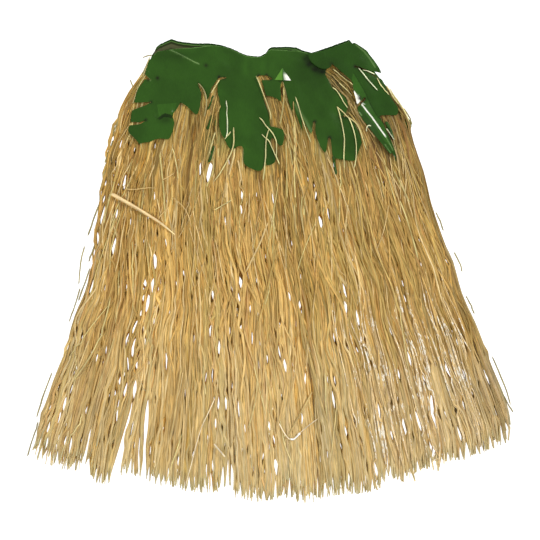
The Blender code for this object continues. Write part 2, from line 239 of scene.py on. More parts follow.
# Side leaf, from its rounded end round to its outer shoulder
SIDE = [
    (57.7, 337), (58.8, 332.3), (61, 326.8), (64.4, 322.1), (69.4, 317.8), (74.9, 314.2),
    (80.3, 312.3), (86.6, 312), (91.3, 313.2), (94.4, 316.2), (96.6, 319.3), (100.3, 316.4),
    (105.3, 312), (111.5, 306.7), (117.8, 301.1), (124, 295.6), (128.1, 291.1), (128.4, 285.5),
    (129, 280), (130.6, 273), (132.6, 265.2), (134.6, 256.2), (138.1, 258.6), (142.4, 263),
    (147.4, 267.7), (148.4, 265.5), (145.2, 260.5), (140.9, 256.5), (135.9, 252.4), (135.6, 248),
    (137.7, 242.6), (141.2, 237.1), (145.1, 230.9), (149, 226.2), (153.7, 220.3), (157.4, 215.3),
    (162.2, 209), (168.5, 201.2), (174.7, 193.4), (181, 185.6), (186.9, 178.9), (189.4, 181.6),
    (191.1, 177.1), (193.3, 171.8), (195.3, 167.2), (195.8, 173.2), (195, 180.6), (192.3, 189.5),
    (189.2, 197.3), (186.1, 203.6), (183.3, 209.8), (180.5, 216.1), (178, 222.3), (175.2, 228.1),
    (172.4, 233.2), (169.9, 237.7), (172.4, 239.5), (177.1, 239.6), (183.3, 239.9), (189.5, 239.8),
    (195.8, 239.9), (198.6, 242.4), (199.4, 247.3), (198.6, 252.3), (195, 257.4), (191.1, 262.5),
    (187.7, 267.9), (184.5, 273), (181.7, 278.6), (179.6, 284.2), (177.1, 289.7), (174.9, 293.9),
    (171.8, 297), (168, 298.7), (164.9, 299.4), (161.5, 301.1), (156.8, 303.6), (151.3, 306.5),
    (145.9, 309), (141.2, 311.2), (136.8, 313.7), (131.5, 314.8), (132.1, 316.4), (138.1, 315.6),
    (143.5, 313.1), (149.8, 310.9), (156, 309.2), (162.2, 307.8), (167.7, 306.9), (172.8, 305.4),
    (171.8, 309.7), (169.3, 314.3), (165.8, 319.8), (161.9, 325.3), (157.6, 330.7), (153.7, 335.4),
    (152.1, 338.5), (149.3, 341.2), (144.3, 344.8), (138.8, 348.2), (134.2, 351.3), (130.7, 352.9),
    (127.9, 351.9),
]

# The same piece along the waist, right to left
SIDE_TOP = [
    (123.2, 354.3), (116.2, 351.6), (108.4, 349), (100.6, 346.3), (92.8, 343.5), (85, 340.9),
    (77.2, 338.7), (69.4, 337), (63.2, 337),
]


# Slits between strands: x, y of the upper end, x, y of the lower end, width, 1 if open at the hem
PARTINGS = [
    (-207.9, -177.8, -241.8, -318.2, 9.6, 1),
    (-195.6, -220.9, -198.1, -319.8, 6, 1),
    (-350.2, -274.6, -354.9, -301.1, 3.4, 1),
    (-331.5, -276.1, -334.6, -307.3, 4.1, 1),
    (-298.7, -290.2, -301.1, -312, 2.5, 1),
    (-255.1, -310.4, -255.7, -332.3, 2.5, 1),
    (-216.1, -285.5, -222.3, -329.2, 5.3, 1),
    (-188, -301.1, -192.7, -335.4, 3.7, 1),
    (-159.3, -301.1, -159.9, -338.5, 3.4, 1),
    (-127.1, -319.8, -128.7, -347.9, 3.4, 1),
    (-73.2, -294.8, -75.7, -341.6, 5, 1),
    (-65.4, -282.4, -67.9, -338.5, 3.4, 1),
    (-22.6, -338.5, -23.6, -360.4, 2.8, 1),
    (8.6, -319.8, 7, -357.2, 3.4, 1),
    (30.4, -335.4, 30.4, -363.5, 3.1, 1),
    (94.4, -332.3, 95.3, -357.2, 3.4, 1),
    (116.2, -319.8, 117.8, -354.1, 2.8, 1),
    (158.3, -322.9, 159.9, -347.9, 3.1, 1),
    (186.4, -301.1, 188.6, -332.3, 3.7, 1),
    (208.3, -310.4, 210.8, -332.3, 3.1, 1),
    (228.5, -290.2, 231.7, -319.8, 4.1, 1),
    (248.8, -285.5, 251.9, -313.6, 2.8, 1),
    (275.3, -276.1, 278.5, -304.2, 3.4, 1),
    (294.1, -266.8, 298.1, -294.8, 3.1, 1),
    (319, -263.6, 323.7, -288.6, 2.8, 1),
    (340.9, -251.2, 344.8, -279.2, 3.4, 1),
    (358, -244.9, 363.5, -269.9, 2.8, 1),
    (-210.4, -171.6, -213.6, -205.9, 3.7, 0),
    (-221.1, 251.2, -222.6, 237.1, 2.8, 0),
    (-221.4, 199.7, -222, 191.9, 2.5, 0),
    (-211.4, 190.3, -213.3, 176.3, 3.4, 0),
    (-89.1, 220.6, -89.1, 210.6, 3.7, 0),
    (201.1, 244.9, 203.6, 232.4, 4.1, 0),
    (210.4, 234, 212.9, 226.2, 3.4, 0),
    (-256.6, 145.1, -258.2, 127.9, 2.2, 0),
    (-88.1, 244.9, -97.1, 217.7, 2.4, 0),
    (-87.6, 199.9, -94.3, 172.5, 3.9, 0),
    (-177.7, 202.8, -183.9, 185.6, 3.7, 0),
    (98.1, 174.7, 102.2, 148.2, 3.4, 0),
    (181, 228.5, 190.5, 201.2, 4.4, 0),
    (182.1, 290.2, 186.4, 277.7, 4.1, 0),
    (-365.8, -251.2, -370.5, -279.2, 2.5, 0),
    (-319, -198.1, -323.7, -223.1, 2.8, 0),
    (-309.7, -179.4, -312.8, -199.7, 2.5, 0),
    (-328.4, -223.1, -331.5, -241.8, 2.5, 0),
    (-250.4, -191.9, -253.5, -210.6, 2.2, 0),
    (-236.3, -201.2, -239.5, -220, 2.5, 0),
    (-269.1, -129.5, -272.2, -145.1, 2.2, 0),
    (-292.5, -95.2, -295.6, -113.9, 2.5, 0),
    (-69.4, -198.1, -70.2, -223.1, 2.5, 0),
    (-100.6, -160.7, -101.4, -179.4, 2.8, 0),
    (-28.9, -95.2, -28.9, -117, 2.2, 0),
    (-5.5, -129.5, -4.8, -151.3, 2.2, 0),
    (198.9, -151.3, 202, -176.3, 2.5, 0),
    (214.5, -129.5, 219.2, -151.3, 2.5, 0),
    (167.7, -207.5, 170.8, -232.4, 2.2, 0),
    (298.7, -198.1, 303.4, -223.1, 2.2, 0),
    (18.6, 283.9, 18.6, 273, 5.3, 0),
]

# Narrow openings between the strands, in the same terms
OPENINGS = [
    (-222, 259, -224, 246, 2.2, 0), (-240.5, 227, -244.5, 212, 2.6, 0), (-246, 206, -248.5, 192, 2.6, 0),
    (-232.5, 202, -235, 187, 2.2, 0), (-215.5, 191, -217, 179, 2.4, 0), (-256, 160, -258.5, 147, 2.4, 0),
    (-248.6, 172.7, -249.4, 163.4, 2.3, 0), (-224.1, 151.6, -230.2, 125.3, 4, 0), (-218.9, 147.4, -221.4, 138.3, 1.8, 0),
    (-109.2, 167.4, -109.9, 143.9, 3.5, 0), (-91, 170.3, -100.3, 132, 5.2, 0), (-258.7, 114.2, -261.2, 103.4, 2.4, 0),
    (-229.9, 127, -229.9, 117.6, 2.7, 0), (-191.2, 121, -191.6, 116.3, 1.5, 0), (-128.9, 108.3, -129.1, 102.1, 1.9, 0),
    (-111.3, 132.1, -111.4, 122.7, 2, 0), (-94, 113.3, -93.8, 107, 1.7, 0), (-45.9, 103.5, -45.1, 87.8, 3, 0),
    (-44.6, 121.9, -45.4, 106.3, 3, 0), (-44.5, 136.2, -45.2, 131.4, 2.1, 0), (66.6, 138.2, 69.1, 119.3, 3.4, 0),
    (71.3, 120.7, 71.5, 100.4, 3.6, 0), (86.6, 117.2, 87.8, 106.2, 2.4, 0), (99.3, 123.7, 99.3, 117.5, 1.7, 0),
    (108.2, 138.1, 108.1, 133.4, 1.7, 0), (-272.2, 83.3, -272.7, 72.4, 3.5, 0), (-270.6, 88, -271.4, 81.9, 1.6, 0),
    (-269.2, 61.4, -270.3, 34.9, 2.5, 0), (-258.3, 99.4, -267.8, 63.9, 2.4, 0), (-238.5, 93.1, -241.2, 79.2, 2.6, 0),
    (-197.3, 64.7, -197.3, 60, 1.3, 0), (-176.1, 62.1, -176.9, 48, 2.8, 0), (-150.2, 71.4, -150.3, 63.6, 1.8, 0),
    (-135.3, 89.7, -135.4, 81.9, 2, 0), (-71.2, 80.8, -70.3, 69.8, 2.6, 0), (-69.1, 89, -69.6, 82.7, 2.4, 0),
    (77.1, 88.2, 79.2, 63.1, 4.8, 0), (89.5, 96.6, 91.1, 77.9, 2.9, 0), (113.1, 61.6, 113.6, 53.8, 1.9, 0),
    (-240.5, 53, -248.9, 15.6, 3, 0), (-208.2, 24.9, -208.7, 17.1, 2.5, 0), (-198.8, 44.5, -198.2, 36.8, 2.1, 0),
    (-180.9, 26.2, -179.8, -2, 4.9, 0), (-162.4, 44.2, -165.6, 37.1, 1.9, 0), (-155.1, 30.4, -155.1, 25.7, 1.5, 0),
    (-132.1, 43, -132.3, 38.3, 1.6, 0), (-98.9, 22.7, -98.7, 18, 1.6, 0), (98.5, 45.9, 99.2, 39.7, 1.6, 0),
    (-276.5, -16.4, -283.3, -41.2, 2.6, 0), (-214.3, 5.6, -214, 0.9, 1.7, 0), (-194.5, -14.8, -197.5, -35.4, 4, 0),
    (-184.7, -5.3, -184.6, -11.6, 1.7, 0), (-183.1, -14.1, -185.2, -37.6, 3.2, 0), (-172.8, -16.2, -176.3, -40.9, 3.1, 0),
    (-171, -10.2, -171.4, -21.1, 2.3, 0), (-147.2, -19.3, -147.4, -25.6, 1.4, 0), (-135.6, -0.8, -135.5, -17.9, 2.3, 0),
    (-114.5, -1.1, -114.2, -8.9, 1.7, 0), (-113.1, -7, -115.1, -21, 2.8, 0), (-99.5, 16.3, -99.6, 10.1, 1.7, 0),
    (-85, -15.3, -85.1, -18.4, 1.8, 0), (-69.7, 2.3, -69.3, -4, 1.8, 0), (-58.5, 5.5, -58.5, -3.9, 2.3, 0),
    (-45.3, -1.7, -47.8, -34.4, 4, 0), (114.7, -12.7, 114.3, -17.4, 2.3, 0), (197.4, 7.1, 197.4, 2.4, 1.7, 0),
    (-263.8, -58.7, -264.9, -68, 1.8, 0), (-197.7, -39.1, -199.3, -56.5, 3.4, 0), (-188.8, -36.8, -195.5, -72.4, 4, 0),
    (-173.8, -58.2, -176.7, -72.6, 2.9, 0), (-172.7, -41.5, -174.4, -49.6, 2.5, 0), (-145.6, -48.1, -145.6, -54.3, 2.2, 0),
    (-137.8, -28.8, -137.9, -38.2, 1.5, 0), (-122.4, -38.2, -122.7, -47.6, 3.5, 0), (-89.1, -31.6, -92.2, -55, 3, 0),
    (-73.5, -43, -74.1, -53.9, 2.1, 0), (-61.1, -32.4, -60.6, -35.7, 2.2, 0), (-60.8, -25.1, -61.7, -33, 1.9, 0),
    (-53.7, -44.3, -53.6, -49, 1.6, 0), (-51.7, -53.5, -49.9, -69, 2.9, 0), (-49.8, -36.2, -48.3, -53.6, 3.2, 0),
    (43.8, -46.3, 49.3, -71.1, 2.7, 0), (108, -29.8, 110.2, -42.5, 2.4, 0), (113.4, -20.3, 118.7, -46.7, 3.1, 0),
    (115.8, -48.4, 120.6, -74.9, 2.8, 0), (144, -47.4, 144.3, -53.7, 1.2, 0), (-306.4, -94.4, -307.2, -102.1, 1.4, 0),
    (-264.5, -96.8, -264.8, -101.5, 2, 0), (-258.2, -91.1, -258.8, -95.7, 1.5, 0), (-222.6, -97.5, -225.2, -122.7, 3.4, 0),
    (-208.5, -76.1, -215.2, -107.3, 4.9, 0), (-207.5, -96.3, -204.4, -108.4, 1.8, 0), (-202.3, -62.5, -202.5, -78.2, 2.2, 0),
    (-199, -88.2, -200.1, -103.9, 2.8, 0), (-180.5, -73.7, -182.6, -86.1, 2.5, 0), (-153.3, -94.4, -153.3, -99, 1.4, 0),
    (-145.8, -72.1, -145.8, -84.6, 2.3, 0), (-93.1, -82.2, -94.7, -105.7, 3.1, 0), (-92.2, -67.8, -92.3, -77.2, 3.1, 0),
    (-81.6, -88.3, -81.8, -93, 1.3, 0), (-63.5, -89.5, -63.7, -100.5, 2.5, 0), (-52.2, -69.4, -51.8, -77.1, 1.5, 0),
    (-46.4, -79.3, -47, -98, 2.8, 0), (-21, -65, -19.5, -71.3, 2, 0), (6.5, -94.7, 9.5, -105.3, 2.8, 0),
    (78.5, -95.6, 78.2, -98.7, 2.1, 0), (133.3, -64.4, 139, -92.3, 2.8, 0), (220.4, -78.1, 220.4, -84.3, 1.9, 0),
    (-306.3, -116.2, -306.3, -120.9, 1.5, 0), (-304, -127.3, -303.6, -131.9, 1.3, 0), (-223.1, -121.9, -222.6, -126.7, 1.7, 0),
    (-221.4, -131.1, -222.2, -159.2, 3.7, 0), (-210, -104.7, -217.9, -140.6, 4.6, 0), (-206.6, -116.2, -208.2, -120.9, 1.6, 0),
    (-204.2, -126.2, -209, -138.7, 2.9, 0), (-187.5, -121.5, -190, -131.1, 2.5, 0), (-151.7, -117.6, -152, -127, 1.6, 0),
    (-79.8, -107.5, -81.3, -138.8, 3, 0), (-60.1, -105.5, -60.9, -115, 2.5, 0), (-17.6, -105.8, -16.4, -115.2, 2.3, 0),
    (11.8, -113.8, 15, -143.6, 2.6, 0), (16.4, -114.3, 18.4, -125.2, 1.5, 0), (21.2, -137.5, 23.9, -160.8, 3.3, 0),
    (98, -103.3, 103.5, -120.2, 2.6, 0), (116.9, -112.8, 121.5, -126.5, 2.4, 0), (131.5, -112.8, 137, -131.3, 3.1, 0),
    (146.7, -105.6, 147.6, -116.4, 2.2, 0), (213.4, -112.7, 216.1, -120.2, 2.6, 0), (245.6, -138.1, 250.8, -149, 2.7, 0),
    (318.9, -116.7, 320.4, -127.6, 2.8, 0), (332.5, -127.1, 334.7, -136.4, 1.3, 0), (-329.3, -179, -330.9, -183.7, 2, 0),
    (-318.8, -156.8, -323.4, -172, 1.9, 0), (-317.4, -173, -317.1, -176.2, 1.8, 0), (-239.7, -177.5, -240.8, -190.1, 2.8, 0),
    (-234.9, -161, -235.1, -181.2, 4.2, 0), (-227, -159.6, -228.6, -168.9, 2.1, 0), (-223.7, -175.2, -230.4, -202.8, 3.4, 0),
    (-215.5, -158.9, -217.8, -172.9, 2.1, 0), (-211.8, -168.9, -216.9, -181.4, 2.7, 0), (-206.5, -143.3, -212.2, -161.7, 4, 0),
    (-189.7, -142.6, -189.8, -147.3, 1.4, 0), (-179.1, -148.8, -180.5, -156.7, 2.3, 0), (-166.1, -146.4, -162.9, -157.4, 2.3, 0),
    (-161.6, -141.2, -161.6, -145.9, 1.3, 0), (-90.2, -154.1, -90.7, -175.9, 3.7, 0), (-83.4, -170.5, -84.6, -176.9, 2.2, 0),
    (-67.8, -167.6, -67.8, -172.3, 1.4, 0), (-5.8, -159.7, -3.9, -170.6, 1.8, 0), (77, -148.3, 77.8, -156.2, 1.6, 0),
    (97.1, -162.1, 103.2, -186.8, 3.1, 0), (149.4, -152, 151.4, -158.2, 2.5, 0), (156.2, -144.2, 158.8, -151.8, 1.6, 0),
    (173.2, -155.4, 176.1, -161.1, 3.1, 0), (236.6, -141.4, 240.3, -148.2, 2.9, 0), (237.1, -165, 242.8, -180.8, 2.2, 0),
    (271.3, -144.3, 280.4, -171, 3.5, 0), (299.5, -155.8, 304, -171.9, 2.7, 0), (324, -171.9, 325.4, -184.4, 2.8, 0),
    (335.9, -164.6, 342.6, -183.3, 2.5, 0), (-350.1, -217.9, -352.7, -223.9, 1.8, 0), (-344.6, -219.5, -346.6, -230.4, 2.9, 0),
    (-342.7, -209.6, -344.4, -215.9, 2.3, 0), (-335.4, -203.3, -337.9, -209.8, 1.9, 0), (-330.3, -186.7, -335, -193.8, 2.6, 0),
    (-319.2, -186.3, -319.6, -190.9, 1.5, 0), (-242.5, -203.6, -243.2, -211.3, 1.7, 0), (-238.7, -218.8, -241.1, -240.7, 3, 0),
    (-190.9, -195.9, -197.5, -286.3, 4.2, 0), (-178.8, -196.4, -178.9, -201, 1.7, 0), (-132.5, -193.9, -133.5, -201.7, 2.4, 0),
    (-120.5, -184.8, -120.3, -188, 2, 0), (-114.7, -183.3, -114.8, -187.9, 1.5, 0), (-87.8, -196.4, -87.6, -201.1, 1.8, 0),
    (-79.8, -195.6, -82.6, -222.2, 2.8, 0), (-67.7, -189.7, -68.3, -192.7, 1.8, 0), (-50.8, -202.4, -49.3, -235.2, 2, 0),
    (-44.6, -194.2, -43, -205.2, 2.3, 0), (3.4, -218.1, 4.3, -229.2, 3.2, 0), (9.8, -211.1, 9.4, -217.3, 2.4, 0),
    (17.8, -196.2, 17.9, -205.5, 2.4, 0), (75.9, -181.6, 75.8, -187.8, 1.6, 0), (95.7, -192.1, 101.9, -218.7, 2.9, 0),
    (145.9, -209.5, 146.5, -220.4, 2.3, 0), (189.1, -204.2, 188.8, -216.7, 2.5, 0), (224.9, -218.7, 238, -259.1, 2.8, 0),
    (228.3, -192.8, 230.8, -198.8, 2.2, 0), (251.2, -191.3, 255.2, -248.8, 4.9, 0), (260.7, -218.6, 266.5, -235, 3.3, 0),
    (268.1, -214.7, 286.2, -246.3, 4, 0), (289.5, -216.8, 286.9, -227.5, 2.8, 0), (293.9, -204.6, 294.7, -211, 2.4, 0),
    (315.1, -191.9, 316.2, -200, 3, 0), (-353.3, -240.9, -355.7, -247.5, 1.7, 0), (-345.5, -237.4, -349, -254.5, 4, 0),
    (-337, -221.3, -339.5, -228.9, 2.3, 0), (-318.4, -257, -322.6, -275.5, 3.1, 0), (-298.4, -234.2, -299, -239, 2.2, 0),
    (-213.5, -236.7, -224.1, -272.3, 2.9, 0), (-202.2, -246, -205.2, -328.6, 4.1, 0), (-178.8, -240, -177, -249.4, 2.1, 0),
    (-169.4, -245.9, -165.5, -254.3, 3.4, 0), (-164.6, -232.2, -164.7, -238.5, 1.8, 0), (-111.3, -256.5, -111, -261.2, 1.4, 0),
    (-99.1, -257.1, -98.7, -268, 2.5, 0), (-85.8, -231.4, -85.7, -245.4, 3.5, 0), (-77.3, -238.9, -74.7, -248.4, 2.4, 0),
    (-49.4, -253.7, -47.8, -260, 1.8, 0), (-2.9, -237.5, -1.2, -253.2, 2.5, 0), (4.8, -259, 5.2, -276.2, 3.3, 0),
    (79.7, -244.3, 80.6, -252, 1.3, 0), (107.3, -244.8, 104.3, -252.1, 2.4, 0), (115.6, -241.8, 121.1, -268.5, 2.8, 0),
    (130, -231.4, 132.4, -245.3, 2.2, 0), (187.5, -251.7, 190.7, -267.6, 3.5, 0), (198.8, -235.7, 199.4, -243.5, 1.5, 0),
    (205.6, -232.3, 211.9, -258.8, 4.7, 0), (216.9, -223.8, 220.8, -234.6, 2.7, 0), (219.4, -252.8, 225.3, -268, 1.6, 0),
    (245, -230.5, 251.8, -241.4, 1.4, 0), (291.2, -244.4, 299.9, -270.7, 3.3, 0), (350.8, -220.8, 355.6, -232.7, 1.9, 0),
    (367.9, -242.3, 370.5, -248.9, 2.7, 0), (-347.6, -264.2, -351, -278.6, 2.8, 0), (-323.4, -288.2, -324.8, -294.5, 1.5, 0),
    (-310.8, -261.4, -314, -286.2, 2.6, 0), (-253.8, -278.6, -253.8, -284.8, 1.5, 0), (-251.3, -272.2, -253.5, -279.9, 2.1, 0),
    (-246.7, -273.5, -246.5, -279.8, 2.3, 0), (-218.6, -277.1, -219.4, -281.7, 1.8, 0), (-213.1, -270, -213.6, -280.9, 2, 0),
    (-187, -268.1, -189.9, -294.6, 1.9, 0), (-182.1, -296.9, -181.7, -300, 2.2, 0), (-174.4, -266.1, -174.1, -272.4, 2.6, 0),
    (-153.9, -266.5, -153.4, -283.7, 2.1, 0), (-145.7, -289.5, -145.1, -305.1, 2.8, 0), (-128.6, -284.9, -128.1, -300.5, 1.9, 0),
    (-121.4, -281.7, -120.8, -297.3, 2.3, 0), (-64.7, -284, -58.5, -343.5, 4.5, 0), (-56.6, -292.5, -56.8, -300.3, 1.7, 0),
    (-2.2, -270.8, -2.1, -280.2, 1.6, 0), (8.3, -297.7, 8.3, -319.6, 5, 0), (8.5, -286.3, 6.4, -295.6, 1.8, 0),
    (77.4, -289.3, 77.4, -294, 1.3, 0), (88.1, -280.2, 89.6, -294.2, 1.7, 0), (110.1, -268.8, 110.5, -287.6, 2.9, 0),
    (139.6, -263.3, 142.6, -269, 2.6, 0), (236.3, -295.8, 237.6, -303.7, 1.9, 0), (240, -263.3, 261.7, -292.2, 3.1, 0),
    (321.7, -263.5, 323.7, -271.3, 1.5, 0), (-267, -309.8, -268.6, -318.9, 2.3, 0), (-166.5, -322.4, -166.7, -328.6, 1.8, 0),
    (-132.3, -328.7, -130.8, -341.2, 1.7, 0), (-129.9, -325.3, -130.4, -330, 1.3, 0), (-118.9, -329.1, -118.8, -336.9, 1.9, 0),
    (-102.4, -329.6, -102.1, -332.8, 2.3, 0), (-92.8, -322.3, -92.8, -327, 1.3, 0), (-91, -300.3, -90.5, -306.7, 1.9, 0),
    (-90.4, -313.4, -92.9, -320, 1.9, 0), (-46.9, -335.5, -46.3, -346.5, 2.2, 0), (-26, -300.8, -25.8, -310.2, 1.7, 0),
    (-9, -307.8, -9.2, -312.5, 3.5, 0), (109.8, -317.7, 105.8, -325.2, 3.3, 0), (115.4, -301.6, 116.2, -309.5, 1.7, 0),
    (122.6, -318.3, 121.7, -330.9, 2.3, 0), (150.4, -305, 152, -319.2, 3.2, 0), (162.5, -302.8, 167.4, -324.9, 3.3, 0),
    (180.1, -316.5, 181.5, -324.3, 2.4, 0), (18.4, -340.4, 19.6, -345.2, 2.7, 0),
]

# Lighter and darker places of the fringe, some of them painted shade under and beside the leaves: x, y, reach in x,
# reach in y, change
SHADE_AND_TONE_SPOTS = [
    (-199, 257, 12, 4.5, -0.5), (-206, 230.5, 12, 3.5, -0.5),
    (-33, 55, 24, 60, 0.07), (-136, -30, 30, 80, 0.1), (-84, -100, 26, 130, 0.1), (22, -110, 22, 120, 0.03),
    (22, 60, 30, 60, -0.07), (130, -120, 32, 110, 0.06), (128, 40, 26, 45, 0.04), (75, 10, 26, 80, -0.05),
    (288, -112, 26, 50, -0.2), (334, -190, 26, 50, -0.3), (180, 40, 28, 50, -0.07), (-244, 10, 26, 70, -0.06),
    (-250, -255, 60, 40, -0.09), (176, 210, 22, 40, -0.6), (-190, -110, 24, 90, 0.1), (288, -250, 26, 40, -0.06),
    (-40, -310, 120, 26, -0.05), (205, 100, 24, 40, -0.07), (-118, 217, 26, 26, -0.12), (-135, 150, 34, 60, 0.06),
    (-80, 130, 26, 40, 0.07), (-300, -150, 30, 60, -0.05),
    (-188, -190, 24, 50, 0.09), (-150, -60, 60, 60, 0.04), (20, -130, 24, 60, 0.06), (-224, 190, 20, 60, 0.2),
    (-8, -180, 20, 40, 0.07), (-136, -110, 24, 60, 0.07), (334, -190, 24, 40, -0.12), (288, -115, 22, 40, -0.2),
    (75, -110, 24, 120, 0.2), (-84, 204, 20, 26, -0.1), (-296, -130, 22, 140, -0.07), (-245, 50, 22, 50, -0.07),
    (-190, 42, 20, 26, -0.08), (-136, -62, 20, 24, -0.09), (-30, -60, 18, 150, -0.05),
]
# Places where it is a warmer gold, in the same terms
WARMER = [
    (165, -120, 50, 60, 0.16), (296, -108, 40, 46, 0.46), (120, 100, 120, 80, 0.06), (-200, 90, 60, 110, 0.08),
    (85, -210, 34, 90, -0.2),
]

